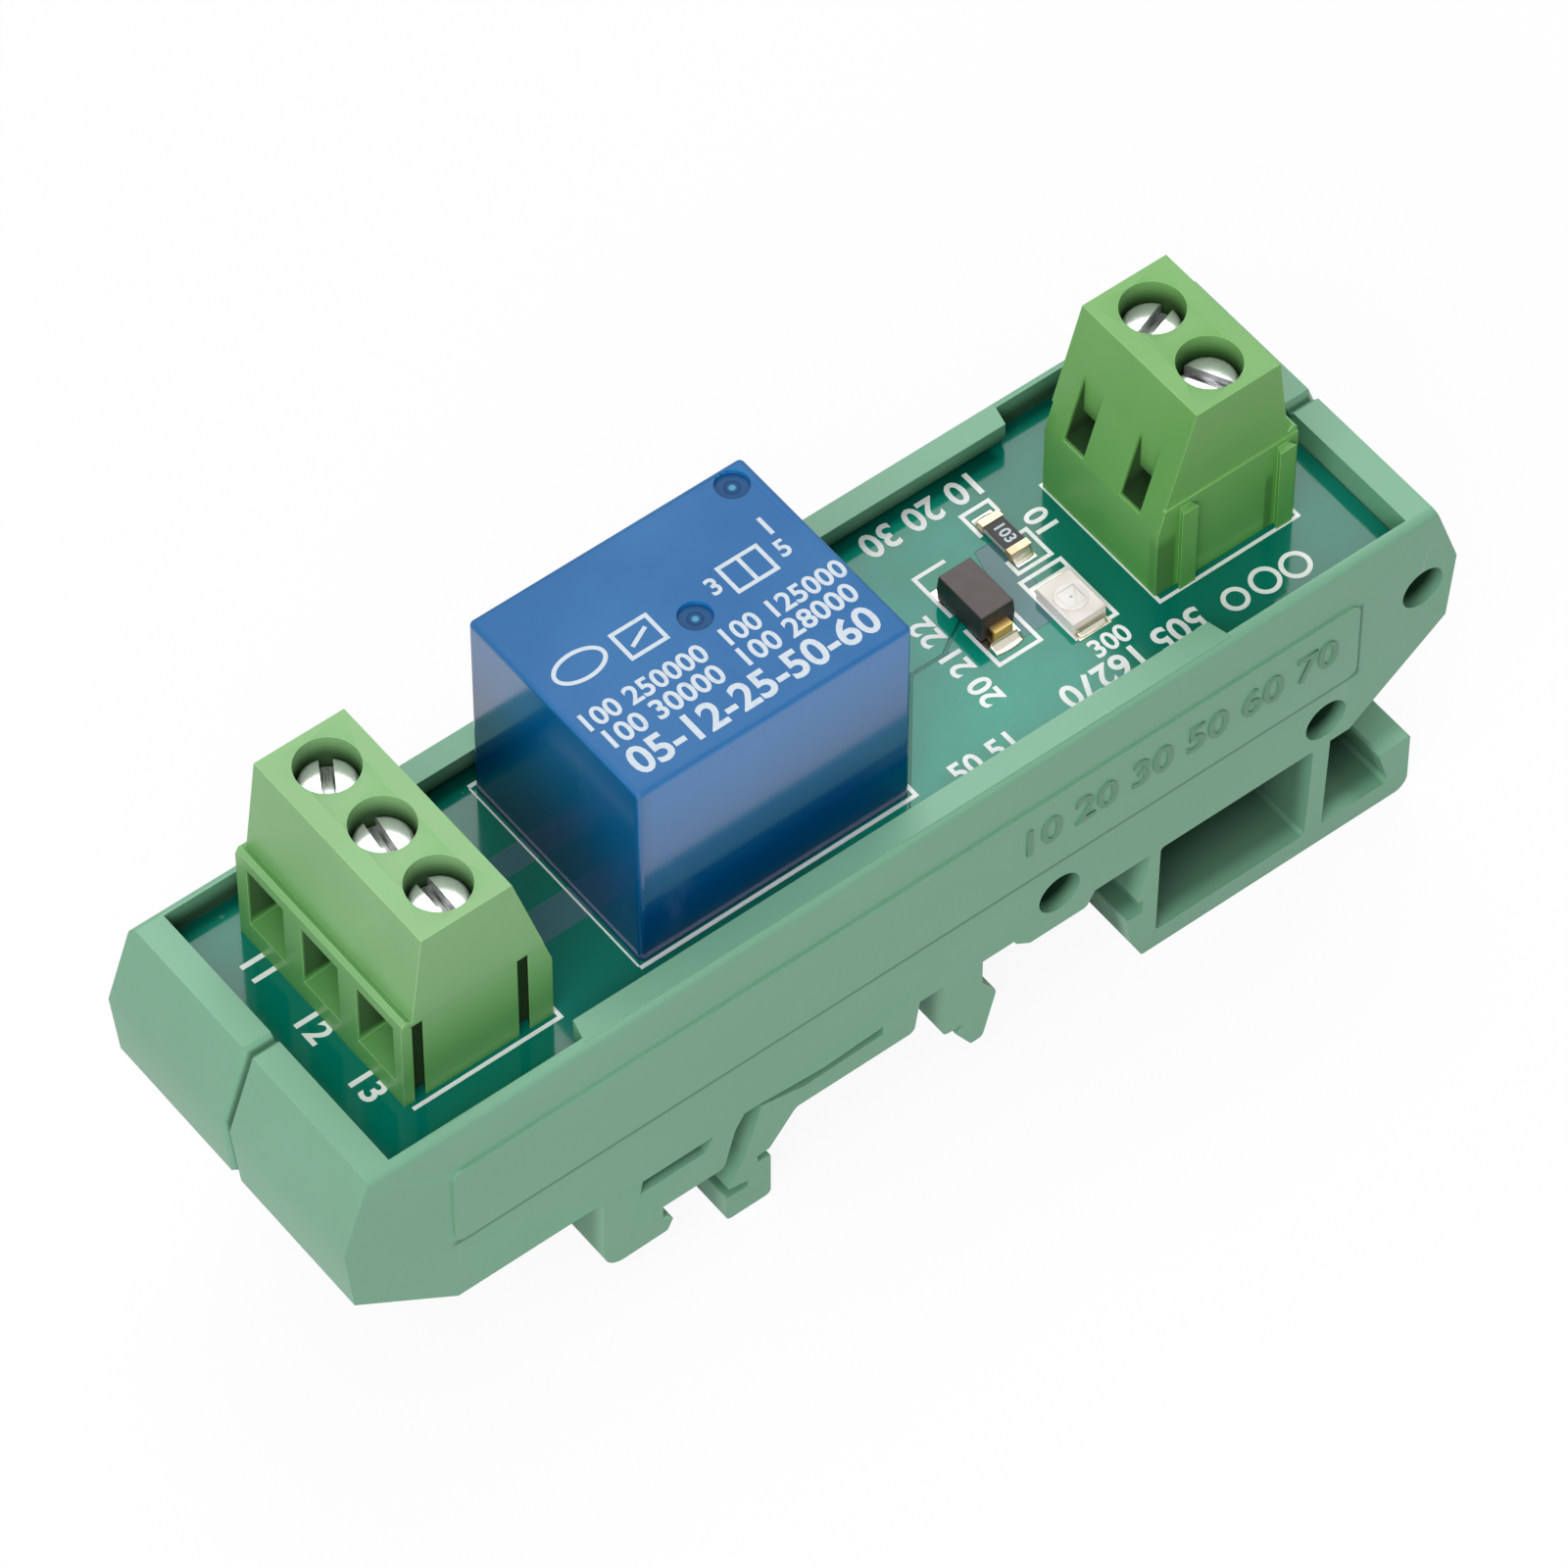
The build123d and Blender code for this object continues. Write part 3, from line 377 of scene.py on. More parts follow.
# Board: solder mask that is greener over copper and greyer over bare laminate, with raised track edges. Broad
# tracks run from the contact terminal to the relay, with bare strips between them. A bare field with slanted
# sides lies between the small parts, and a slit with three legs parts two copper fields. The field and the
# legs have their lean, sides and ends, in mm. Painted shade darkens the board towards both ends and beside
# the back wall and its lip.
boardLook = {"copper": (0, 152, 128), "deep": (0, 140, 116), "bare": (74, 118, 126), "slit": (0, 92, 74),
             "ends": (0, 120, 101), "lee": (0, 40, 30), "laminate": (178, 168, 120),
             "dust": (0.6, 0.66, 0.62, 1.0), "roughness": 0.07, "trackStep": 0.03 * mm,
             "weaveDepth": 0.003 * mm, "middle": 7.5, "endFade": (7.5, 13.0), "stripX": (-23.6, -13.6),
             "stripsY": ((2.0, 3.7), (-2.9, -0.6)), "field": (0.25, (15.3, 17.7), (-2.5, 4.1)),
             "firstLeg": (0.0, (-0.75, -0.55), (7.9, 10.6)), "longLeg": (0.82, (8.4, 8.6), (-9.9, -0.65)),
             "lastLeg": (0.6, (-6.95, -6.7), (10.4, 12.9)), "lipX": (-22.4, 21.8), "lipShade": (8.3, 8.9),
             "wallShade": (9.4, 10.1)}


# 1 on a strip that leans from the axis it follows
def leaningStrip(along, across, strip):
    lean, sides, ends = strip
    return (across - lean * along).band(*sides) * along.band(*ends)


def boardMask():
    wire, place, finish = startMaterial("boardMask")
    look = boardLook
    x, y, z = axesInMm(wire, place)
    strips = x.band(*look["stripX"]) * (y.band(*look["stripsY"][0]) + y.band(*look["stripsY"][1]))
    bare = (strips + leaningStrip(y, x, look["field"])).spread(0.0, 1.0)
    legs = leaningStrip(x, y, look["firstLeg"]) + leaningStrip(y, x, look["longLeg"])
    slit = (legs + leaningStrip(x, y, look["lastLeg"])).spread(0.0, 1.0)
    flow = wire.noise(place, 160.0, 3.0, 0.6).spread(0.35, 0.7)
    weave = wire.noise(place, 2600.0, 1.0, 0.4, (1.0, 0.25, 1.0))
    dust = wire.noise(place, 1500.0, 2.0, 0.5).spread(0.72, 0.82)
    color = wire.blend(flow, rgba(*look["copper"]), rgba(*look["deep"]))
    # Painted shade towards both ends of the board
    color = wire.blend(x.away(look["middle"]).spread(*look["endFade"]), color, rgba(*look["ends"]))
    color = wire.blend(bare * 0.9, color, rgba(*look["bare"]))
    color = wire.blend(slit * 0.8, color, rgba(*look["slit"]))
    # Painted shade beside the lip and the back wall
    lee = (y.spread(*look["lipShade"]) * x.band(*look["lipX"], 0.3)).larger(y.spread(*look["wallShade"]))
    color = wire.blend(lee * 0.6, color, rgba(*look["lee"]))
    face = z.band(boardLow.z / mm + 0.1, boardHigh.z / mm - 0.1, 0.04)
    color = wire.blend(face, color, rgba(*look["laminate"]))
    color = wire.blend(dust * 0.08, color, look["dust"])
    relief = wire.bump(1 - bare - slit, look["trackStep"], 0.7)
    return finish(Base_Color=color, Roughness=look["roughness"] + 0.05 * flow + 0.2 * dust,
                  Specular_IOR_Level=0.38, Normal=wire.bump(weave, look["weaveDepth"], 0.4, relief))


# Plated or bare metal: fine drawn lines along one direction, small pits and slightly duller patches
def metal(name, look):
    wire, place, finish = startMaterial(name)
    lines = wire.noise(place, look["lineScale"], 3.0, 0.6, look["stretch"])
    patch = wire.noise(place, 500.0, 3.0, 0.6).spread(0.45, 0.75)
    pits = wire.noise(place, 4200.0, 2.0, 0.5).spread(0.68, 0.8)
    color = wire.blend(patch * 0.5, rgba(*look["color"]), rgba(*look["dull"]))
    color = wire.blend(pits * 0.35, color, rgba(*look["dull"]))
    return finish(Base_Color=color, Metallic=1.0, Roughness=look["roughness"] + 0.12 * patch + 0.1 * pits,
                  Normal=wire.bump(lines, look["lineDepth"], 0.7))


# Screw heads: slightly domed, bright, with fine lines along the slot. Dark streaks on the slot's floor and
# fainter ones on the head are painted dark reflections. The piece's own slotPlace attribute holds mm across
# the slot, along it and down from the head.
screwFace = {"color": (240, 240, 242), "dull": (206, 206, 210), "reflectionStreak": (62, 66, 74), "roughness": 0.18,
             "slotHalf": 0.38, "dome": 0.045, "lineHeight": 0.006}


def screwMetal():
    wire, _, finish = startMaterial("screwNickel")
    place = wire.add("ShaderNodeAttribute", {"attribute_name": "slotPlace"}, output=1)
    across, along, down = [axisOf(wire, place, axis) for axis in "XYZ"]
    lines = wire.noise(place, 11.0, 3.0, 0.65, (1.0, 0.07, 0.3))
    patch = wire.noise(place, 1.6, 3.0, 0.6).spread(0.4, 0.7)
    inSlot = across.away(0.0).upTo(screwFace["slotHalf"], 0.06) * down.spread(0.1, 0.4)
    # Painted reflection: dark streaks on the slot's floor and fainter ones on the head
    reflectionStreak = lines.spread(0.46, 0.6) * inSlot + lines.spread(0.66, 0.74) * (1 - inSlot) * 0.5
    color = wire.blend(patch * 0.6, rgba(*screwFace["color"]), rgba(*screwFace["dull"]))
    color = wire.blend(reflectionStreak * 0.85, color, rgba(*screwFace["reflectionStreak"]))
    dome = (across ** 2.0 + along ** 2.0) * -screwFace["dome"]
    return finish(Base_Color=color, Metallic=0.6,
                  Roughness=screwFace["roughness"] + 0.1 * patch + 0.15 * reflectionStreak,
                  Normal=wire.bump(dome + screwFace["lineHeight"] * lines, mm, 1.0))


# Metals of the other pieces
metalLook = {"color": (222, 222, 226), "dull": (176, 176, 182), "roughness": 0.16, "lineScale": 1400.0,
             "stretch": (1.0, 0.12, 1.0), "lineDepth": 0.012 * mm}
cageLook = dict(metalLook, color=(200, 200, 204), dull=(150, 150, 156), roughness=0.3)
tinLook = dict(metalLook, color=(214, 206, 184), dull=(160, 148, 120), roughness=0.28, lineDepth=0.006 * mm)
solderLook = dict(metalLook, color=(214, 208, 192), dull=(150, 122, 78), roughness=0.26,
                  stretch=(1.0, 1.0, 1.0))
goldLook = dict(metalLook, color=(226, 192, 120), dull=(160, 122, 60), roughness=0.4, lineDepth=0.006 * mm)
ironLook = dict(metalLook, color=(178, 178, 182), dull=(132, 130, 130), roughness=0.34)
bronzeLook = dict(metalLook, color=(208, 166, 98), dull=(158, 116, 66), roughness=0.28)
copperLook = dict(metalLook, color=(196, 110, 64), dull=(142, 70, 38), roughness=0.3, stretch=(1.0, 1.0, 4.0))
capLook = dict(metalLook, color=(225, 200, 170), dull=(172, 140, 104), roughness=0.5, stretch=(1.0, 1.0, 1.0))


# Screen-printed ink: white, a little thin in places, with a soft sheen
def printInk(name, color, shade, roughness):
    wire, place, finish = startMaterial(name)
    thin = wire.noise(place, 1800.0, 3.0, 0.6).spread(0.5, 0.8)
    grain = wire.noise(place, 9000.0, 2.0, 0.5)
    ink = wire.blend(thin * 0.45, rgba(*color), rgba(*shade))
    return finish(Base_Color=ink, Roughness=roughness + 0.15 * thin, Normal=wire.bump(grain, 0.003 * mm, 0.5))


# Diode case: near-black sides and a browner, duller top that is painted lighter for the light it catches.
# The top's lighter colour starts and ends at depths in mm.
diodeLook = {"topColor": (64, 54, 52), "topCloud": (74, 64, 61), "topDepth": (0.12, 0.04), "roughness": 0.42}


def diodePlastic():
    wire, place, finish = startMaterial("diodePlastic")
    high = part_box("diode_body")[1].z
    top = axisOf(wire, place, "Z").spread(*[high - depth * mm for depth in diodeLook["topDepth"]])
    mottle = wire.noise(place, 900.0, 4.0, 0.65).spread(0.3, 0.7)
    grain = wire.noise(place, 9000.0, 3.0, 0.6)
    sides = wire.blend(mottle, rgba(*blackLook["color"]), rgba(*blackLook["cloud"]))
    face = wire.blend(mottle, rgba(*diodeLook["topColor"]), rgba(*diodeLook["topCloud"]))
    return finish(Base_Color=wire.blend(top, sides, face), Roughness=diodeLook["roughness"] + 0.1 * mottle,
                  Specular_IOR_Level=0.5, Normal=wire.bump(grain, 0.008 * mm, 0.6))


# Chip resistor body: black glaze over a pale ceramic, with the glaze's depths in mm
chipLook = {"glaze": (30, 26, 28), "cloud": (42, 37, 39), "ceramic": (212, 208, 198),
            "glazeDepth": (0.1, 0.06), "roughness": 0.34}


def chipGlaze():
    wire, place, finish = startMaterial("chipGlaze")
    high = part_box("chip_resistor")[1].z
    top = axisOf(wire, place, "Z").spread(*[high - depth * mm for depth in chipLook["glazeDepth"]])
    mottle = wire.noise(place, 2200.0, 3.0, 0.6).spread(0.3, 0.7)
    glaze = wire.blend(mottle, rgba(*chipLook["glaze"]), rgba(*chipLook["cloud"]))
    return finish(Base_Color=wire.blend(top, rgba(*chipLook["ceramic"]), glaze), Specular_IOR_Level=0.32,
                  Roughness=chipLook["roughness"] + 0.1 * mottle, Normal=wire.bump(mottle, 0.008 * mm, 0.6))


# Lamp: white package and a clear filling over a small square chip, drawn in the filling's own colour, in mm.
# The grey border round the chip is painted shade of its recess, deeper towards one corner.
lampLook = {"case": (255, 244, 240), "caseCloud": (248, 235, 230), "filling": (250, 243, 240),
            "fillingCloud": (243, 235, 231), "plate": (250, 246, 244), "borderShade": (176, 164, 160),
            "bond": (190, 176, 168), "spot": (130, 122, 122), "borderRing": (0.6, 0.68),
            "plateHalf": (0.3, 0.36), "bondRing": (0.2, 0.58), "bondHalf": (0.02, 0.06),
            "spotRadius": (0.07, 0.11)}


def lampWhite():
    wire, place, finish = startMaterial("lampWhite")
    mottle = wire.noise(place, 1200.0, 3.0, 0.6).spread(0.35, 0.7)
    color = wire.blend(mottle, rgba(*lampLook["case"]), rgba(*lampLook["caseCloud"]))
    return finish(Base_Color=color, Roughness=0.4 + 0.1 * mottle, Normal=wire.bump(mottle, 0.006 * mm, 0.4))


def lampResin():
    wire, place, finish = startMaterial("lampResin")
    low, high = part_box("led_lens")
    middle = (low + high) / 2
    x = (axisOf(wire, place, "X") - middle.x) / mm
    y = (axisOf(wire, place, "Y") - middle.y) / mm
    mottle = wire.noise(place, 1500.0, 3.0, 0.6).spread(0.35, 0.7)
    square = x.away(0.0).larger(y.away(0.0))
    # Painted shade along the border of the chip's recess, deeper towards one corner
    borderShade = square.band(*lampLook["borderRing"], 0.05) * (0.35 + 0.65 * (y + x).spread(-0.2, 0.5))
    plate = 1 - square.spread(*lampLook["plateHalf"])
    bond = 1 - (x - 0.6 * y - 0.3).away(0.0).spread(*lampLook["bondHalf"])
    bond = bond * square.band(*lampLook["bondRing"], 0.04)
    spot = 1 - fromPoint(x, y, 0.0, 0.0).spread(*lampLook["spotRadius"])
    color = wire.blend(mottle, rgba(*lampLook["filling"]), rgba(*lampLook["fillingCloud"]))
    for mask, share, part in ((plate, 0.7, "plate"), (borderShade, 0.7, "borderShade"), (bond, 0.4, "bond"),
                              (spot, 0.7, "spot")):
        color = wire.blend(mask * share, color, rgba(*lampLook[part]))
    return finish(Base_Color=color, Roughness=0.2 + 0.1 * mottle, Coat_Weight=0.3, Coat_Roughness=0.1)


looks = {
    "carrier": carrierPlastic("carrierPlastic", carrierLook),
    "carrierEdgeHighlight": carrierPlastic("carrierEdgeHighlight", carrierEdgeHighlightLook),
    "number": carrierPlastic("shadedNumberPlastic", shadedNumberLook),
    "contact": terminalPlastic("contactPlastic", contactLook),
    "contactEdgeHighlight": terminalPlastic("contactEdgeHighlight", contactEdgeHighlightLook),
    "supply": terminalPlastic("supplyPlastic", supplyLook),
    "supplyEdgeHighlight": terminalPlastic("supplyEdgeHighlight", supplyEdgeHighlightLook),
    "relayTop": relayTopPlastic(), "relaySide": relaySidePlastic(), "board": boardMask(),
    "black": diodePlastic(), "base": mouldedPlastic("relayBasePlastic", baseLook),
    "bobbin": mouldedPlastic("bobbinPlastic", bobbinLook), "screw": screwMetal(),
    "cage": metal("cageNickel", cageLook), "tin": metal("tinPlate", tinLook),
    "solder": metal("solderMetal", solderLook), "gold": metal("goldPlate", goldLook),
    "iron": metal("softIron", ironLook), "bronze": metal("springBronze", bronzeLook),
    "copper": metal("copperWire", copperLook), "cap": metal("resistorCapMetal", capLook),
    "glaze": chipGlaze(), "lampWhite": lampWhite(), "lampResin": lampResin(),
    "whiteInk": printInk("whiteInk", (253, 254, 253), (232, 240, 236), 0.42),
    "silverInk": printInk("silverInk", (202, 214, 224), (156, 180, 204), 0.36),
}
print("materials made:", len(looks))


# Meshes
def addObject(name, data):
    thing = bpy.data.objects.new(name, data)
    bpy.context.scene.collection.objects.link(thing)
    return thing


def readPoints(mesh):
    points = np.empty(len(mesh.vertices) * 3)
    mesh.vertices.foreach_get("co", points)
    return points.reshape(-1, 3)


def writePoints(mesh, points):
    mesh.vertices.foreach_set("co", points.ravel())


# The mesh of an object with its modifiers or its curve's thickness worked in
def finishedMesh(thing):
    bpy.context.view_layer.update()
    return bpy.data.meshes.new_from_object(thing.evaluated_get(bpy.context.evaluated_depsgraph_get()))


def newPiece(name, vertices, faces, material):
    mesh = bpy.data.meshes.new(name)
    mesh.from_pydata(vertices.tolist(), [], faces.tolist())
    mesh.materials.append(material)
    piece = addObject(name, mesh)
    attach(piece, "module")
    return piece


# The faces of a grid of rows by columns, closed round its columns or rows where asked
def gridFaces(rows, columns, roundColumns=False, roundRows=False):
    index = np.arange(rows * columns).reshape(rows, columns)
    if roundColumns:
        index = np.concatenate([index, index[:, :1]], axis=1)
    if roundRows:
        index = np.concatenate([index, index[:1]], axis=0)
    return np.stack([index[:-1, :-1], index[:-1, 1:], index[1:, 1:], index[1:, :-1]], axis=-1).reshape(-1, 4)


# Merges doubled corners and turns every face outwards
def fixNormals(piece):
    work = bmesh.new()
    work.from_mesh(piece.data)
    bmesh.ops.remove_doubles(work, verts=work.verts, dist=0.0005 * mm)
    bmesh.ops.recalc_face_normals(work, faces=work.faces)
    work.to_mesh(piece.data)
    work.free()


# A merged copy of a node with its flat faces joined and its edges rounded, which can have their own finish.
# For the carrier and the terminals that is a lighter copy of their plastic, a painted highlight.
def softened(node, name, width, face, edge, body="module", segments=2, angle=28, rim=None):
    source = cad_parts[node].data
    triangles = np.empty(len(source.loops), int)
    source.loops.foreach_get("vertex_index", triangles)
    mesh = bpy.data.meshes.new(name)
    mesh.from_pydata(readPoints(source).tolist(), [], triangles.reshape(-1, 3).tolist())
    mesh.materials.append(face)
    mesh.materials.append(edge)
    work = bmesh.new()
    work.from_mesh(mesh)
    bmesh.ops.remove_doubles(work, verts=work.verts, dist=0.003 * mm)
    bmesh.ops.dissolve_limit(work, angle_limit=radians(0.8), verts=work.verts, edges=work.edges)
    bmesh.ops.connect_verts_concave(work, faces=work.faces)
    if rim:
        outer = [line for line in work.edges if min(corner.co.z for corner in line.verts) > rim["level"]
                 and min(abs(corner.co.y) for corner in line.verts) > rim["outY"]
                 and line.calc_length() > rim["shortest"] and line.calc_face_angle(0) > radians(30)]
        bmesh.ops.bevel(work, geom=outer, offset=rim["width"], segments=4, profile=0.5, affect="EDGES",
                        clamp_overlap=True, material=1)
    work.to_mesh(mesh)
    work.free()
    mesh.shade_smooth()
    piece = addObject(name, mesh)
    bevel = piece.modifiers.new("edges", "BEVEL")
    bevel.width = width
    bevel.segments = segments
    bevel.limit_method = "ANGLE"
    bevel.angle_limit = radians(angle)
    bevel.miter_outer = "MITER_ARC"
    bevel.material = 1
    smooth = piece.modifiers.new("normals", "WEIGHTED_NORMAL")
    smooth.keep_sharp = True
    finished = finishedMesh(piece)
    piece.modifiers.clear()
    piece.data = finished
    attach(piece, body)
    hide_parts(node)
    return piece


# The carrier's rounded edges, and the rim's outer top edges, take the lighter copy: a painted highlight
carrierSoft = {"width": 0.2 * mm, "segments": 3, "panelFace": 11.34 * mm, "setBack": 0.1 * mm,
               "rim": {"level": 25.3 * mm, "outY": 10.7 * mm, "shortest": 3.0 * mm, "width": 0.5 * mm}}
for side in ("front", "back"):
    half = softened(f"side_element_{side}", f"carrierHalf_{side}", carrierSoft["width"], looks["carrier"],
                    looks["carrierEdgeHighlight"], segments=carrierSoft["segments"],
                    rim=carrierSoft["rim"])
    if side == "front":
        # The raised panel stands back a little, so that the numbers on it reach the overall width
        points = readPoints(half.data)
        points[points[:, 1] < -carrierSoft["panelFace"], 1] += carrierSoft["setBack"]
        writePoints(half.data, points)
softened("contact_terminal_body", "contactTerminalHousing", 0.12 * mm, looks["contact"], looks["contactEdgeHighlight"])
softened("supply_terminal_body", "supplyTerminalHousing", 0.12 * mm, looks["supply"], looks["supplyEdgeHighlight"])
softened("diode_body", "diodeCase", 0.07 * mm, looks["black"], looks["black"])
softened("led_package", "lampPackage", 0.06 * mm, looks["lampWhite"], looks["lampWhite"])

# The relay's shell has a hazier finish on the faces of its top, down to the floors of the dimples
shell = softened("relay_cover", "relayShell", 0.12 * mm, looks["relaySide"], looks["relaySide"],
                 angle=40).data
shell.materials.append(looks["relayTop"])
normals, centres = np.empty(len(shell.polygons) * 3), np.empty(len(shell.polygons) * 3)
shell.polygons.foreach_get("normal", normals)
shell.polygons.foreach_get("center", centres)
faceUp = (normals[2::3] > 0.5) & (centres[2::3] > relayHigh.z - 0.6 * mm)
shell.polygons.foreach_set("material_index", np.where(faceUp, 2, 0).astype(np.int32))

# Its top stands back a little, so that the print on it stays inside the overall height
relayPrint = {"thick": 0.018 * mm, "setBack": 0.02 * mm, "topBand": 0.004 * mm}
points = readPoints(shell)
points[points[:, 2] > relayHigh.z - relayPrint["topBand"], 2] -= relayPrint["setBack"]
writePoints(shell, points)
print("housings softened")

# Finishes of the nodes that stay as they are
nodeLooks = {
    "circuit_board": "board", "solder_joints": "solder", "solder_pads": "solder", "relay_base": "base",
    "relay_bobbin": "bobbin", "relay_core": "iron", "relay_yoke": "iron", "relay_armature": "iron",
    "relay_contact_spring": "bronze", "relay_no_contact": "bronze", "relay_nc_contact": "bronze",
    "relay_common_pin": "bronze", "relay_coil_pins": "tin", "relay_coil_winding": "copper",
    "chip_resistor": "glaze", "resistor_end_caps": "cap", "diode_leads": "gold", "led_lens": "lampResin",
    "led_terminals": "tin",
}
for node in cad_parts:
    if "clamp_screw" in node:
        nodeLooks[node] = "screw"
    elif "wire_cage" in node:
        nodeLooks[node] = "cage"
    elif "terminal_pin" in node:
        nodeLooks[node] = "tin"
for node, look in nodeLooks.items():
    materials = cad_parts[node].data.materials
    materials.clear()
    materials.append(looks[look])

# The turn of each screw's slot in degrees. The slot's own coordinates go with the mesh for the fine lines.
slotTurns = {"contact_clamp_screw_1": 59, "contact_clamp_screw_2": 82, "contact_clamp_screw_3": 88,
             "supply_clamp_screw_1": 19, "supply_clamp_screw_2": 117}
for node, turn in slotTurns.items():
    screw = softened(node, node.replace("_clamp_screw_", "ClampScrew"), 0.07 * mm, looks["screw"],
                     looks["screw"], body=node.replace("clamp_screw", "screw"), angle=35)
    low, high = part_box(node)
    points = (readPoints(screw.data) - [(low.x + high.x) / 2, (low.y + high.y) / 2, high.z]) / mm
    ahead = np.array([cos(radians(turn)), sin(radians(turn))])
    across = points[:, 1] * ahead[0] - points[:, 0] * ahead[1]
    own = np.stack([across, points[:, :2] @ ahead, -points[:, 2]], axis=1)
    screw.data.attributes.new("slotPlace", "FLOAT_VECTOR", "POINT").data.foreach_set("vector", own.ravel())


# Printed lines: a flat strip along a path, mitred at its corners, with its own small thickness
def ribbon(path, width, thick, level, closed=False):
    path = np.asarray(path, float)
    ahead = np.roll(path, -1, axis=0) - path
    if not closed:
        ahead[-1] = ahead[-2]
    ahead /= np.linalg.norm(ahead, axis=1, keepdims=True)
    behind = np.roll(ahead, 1, axis=0)
    if not closed:
        behind[0] = ahead[0]
    mitre = ahead + behind
    mitre /= np.linalg.norm(mitre, axis=1, keepdims=True)
    across = np.stack([-mitre[:, 1], mitre[:, 0]], axis=1)
    stretch = 1 / np.clip(np.sum(mitre * ahead, axis=1, keepdims=True), 0.3, 1)
    left = path + across * stretch * width / 2
    right = path - across * stretch * width / 2
    flat = np.stack([left, right, right, left], axis=1)
    heights = np.array([level, level, level + thick, level + thick])
    points = np.concatenate([flat, np.broadcast_to(heights[:, None], (len(path), 4, 1))],
                            axis=2).reshape(-1, 3)
    faces = gridFaces(len(path), 4, roundColumns=True, roundRows=closed)
    if not closed:
        last = 4 * (len(path) - 1)
        faces = np.concatenate([faces, [[0, 1, 2, 3], [last + 3, last + 2, last + 1, last]]])
    return points, faces


# Several ribbons as one piece
def printedLines(name, paths, width, thick, level, material):
    allPoints, allFaces, start = [], [], 0
    for path, closed in paths:
        points, faces = ribbon(np.asarray(path, float) * mm, width, thick, level, closed)
        allPoints.append(points)
        allFaces.append(faces + start)
        start += len(points)
    fixNormals(newPiece(name, np.concatenate(allPoints), np.concatenate(allFaces), material))


# A circle as a closed path: x = cx + r cos t, y = cy + r sin t
def circlePath(x, y, radius, steps=28):
    turn = np.linspace(0, 2 * pi, steps, endpoint=False)
    return np.stack([x + radius * np.cos(turn), y + radius * np.sin(turn)], axis=1)


# A plain number with its middle at place. The axes say where its length, height and thickness point, and bold
# is how much its strokes widen, as a share of its size.
def numberPiece(name, words, place, size, axes, material, thick, bold):
    curve = bpy.data.curves.new(name, "FONT")
    curve.body = words
    curve.size = size
    curve.align_x = "CENTER"
    curve.align_y = "CENTER"
    curve.extrude = thick / 2
    curve.offset = size * bold
    curve.resolution_u = 4
    writer = addObject(name + "Writer", curve)
    mesh = finishedMesh(writer)
    bpy.data.objects.remove(writer)
    writePoints(mesh, (readPoints(mesh) + [0, 0, thick / 2]) @ np.array(axes, float) + np.array(place, float))
    mesh.name = name
    mesh.materials.clear()
    mesh.materials.append(material)
    piece = addObject(name, mesh)
    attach(piece, "module")


def printedText(name, words, x, y, size, turn, level, material):
    axes = [[cos(turn), sin(turn), 0], [-sin(turn), cos(turn), 0], [0, 0, 1]]
    numberPiece(name, words, (x * mm, y * mm, level), size * mm, axes, material, relayPrint["thick"],
                0.022)


# Numbers moulded on the front panel, in a darker copy of the carrier's plastic that paints the shade on the
# letters
panelNumbers = {"words": "10 20 30 50 60 70", "place": (19.2 * mm, -11.24 * mm, 18.4 * mm), "size": 3.2 * mm,
                "rise": 0.11 * mm, "bold": 0.012}
numberPiece("panelNumbers", panelNumbers["words"], panelNumbers["place"], panelNumbers["size"],
            [[1, 0, 0], [0, 0, 1], [0, -1, 0]], looks["number"], panelNumbers["rise"],
            panelNumbers["bold"])


# Outlines printed on the board, with their paths in mm
boardPrint = {"width": 0.26 * mm, "thick": 0.02 * mm}


def boxPath(low, high, over):
    x0, y0, x1, y1 = low[0] / mm - over, low[1] / mm - over, high[0] / mm + over, high[1] / mm + over
    return [(x0, y0), (x1, y0), (x1, y1), (x0, y1)]


def boardLines(name, paths, width=boardPrint["width"]):
    printedLines(name, paths, width, boardPrint["thick"], boardTop, looks["whiteInk"])


r0, r1, r2, r3 = boxPath(relayLow, relayHigh, 0.24)
boardLines("relayOutline", [([r0, r1, r2, r3], False)])
half = boardPrint["width"] / 2 / mm
boardLines("relayOutlineLeft", [([(r3[0], r3[1] - half), (r0[0], r0[1] + half)], False)], 0.12 * mm)
x0, y0, x1, y1 = contactLow.x / mm, contactLow.y / mm, contactHigh.x / mm, contactHigh.y / mm
boardLines("contactOutline", [([(x0 + 0.3, y0 - 0.25), (x1 + 0.2, y0 - 0.25), (x1 + 0.2, y1 + 0.2)], False)])
boardLines("supplyOutline", [(boxPath(supplyLow, supplyHigh, -0.02), True)], 0.24 * mm)
boardLines("resistorOutline",
           [([(17.35, 4.7), (17.35, 6.6), (19.35, 6.6), (19.35, 5.6)], False),
            ([(17.35, 2.4), (17.35, 1.3), (19.75, 1.3), (19.75, 3.6), (19.2, 3.6)], False)])
boardLines("diodeOutline", [([(12.35, 1.2), (12.35, 4.65), (14.6, 4.65)], False),
                            ([(12.35, 0.0), (12.35, -3.2), (15.35, -3.2), (15.35, 0.6)], False)])
boardLines("lampOutline", [([(17.0, -4.4), (19.95, -4.4), (19.95, 0.7), (17.0, 0.7)], True),
                           ([(17.13, -0.05), (19.82, -0.05)], False)])
ringY = -7.75
boardLines("plainRings", [(circlePath(26.0, ringY, 0.72), True), (circlePath(28.2, ringY, 0.85), True),
                          (circlePath(30.3, ringY - 0.2, 0.85), True)], 0.3 * mm)

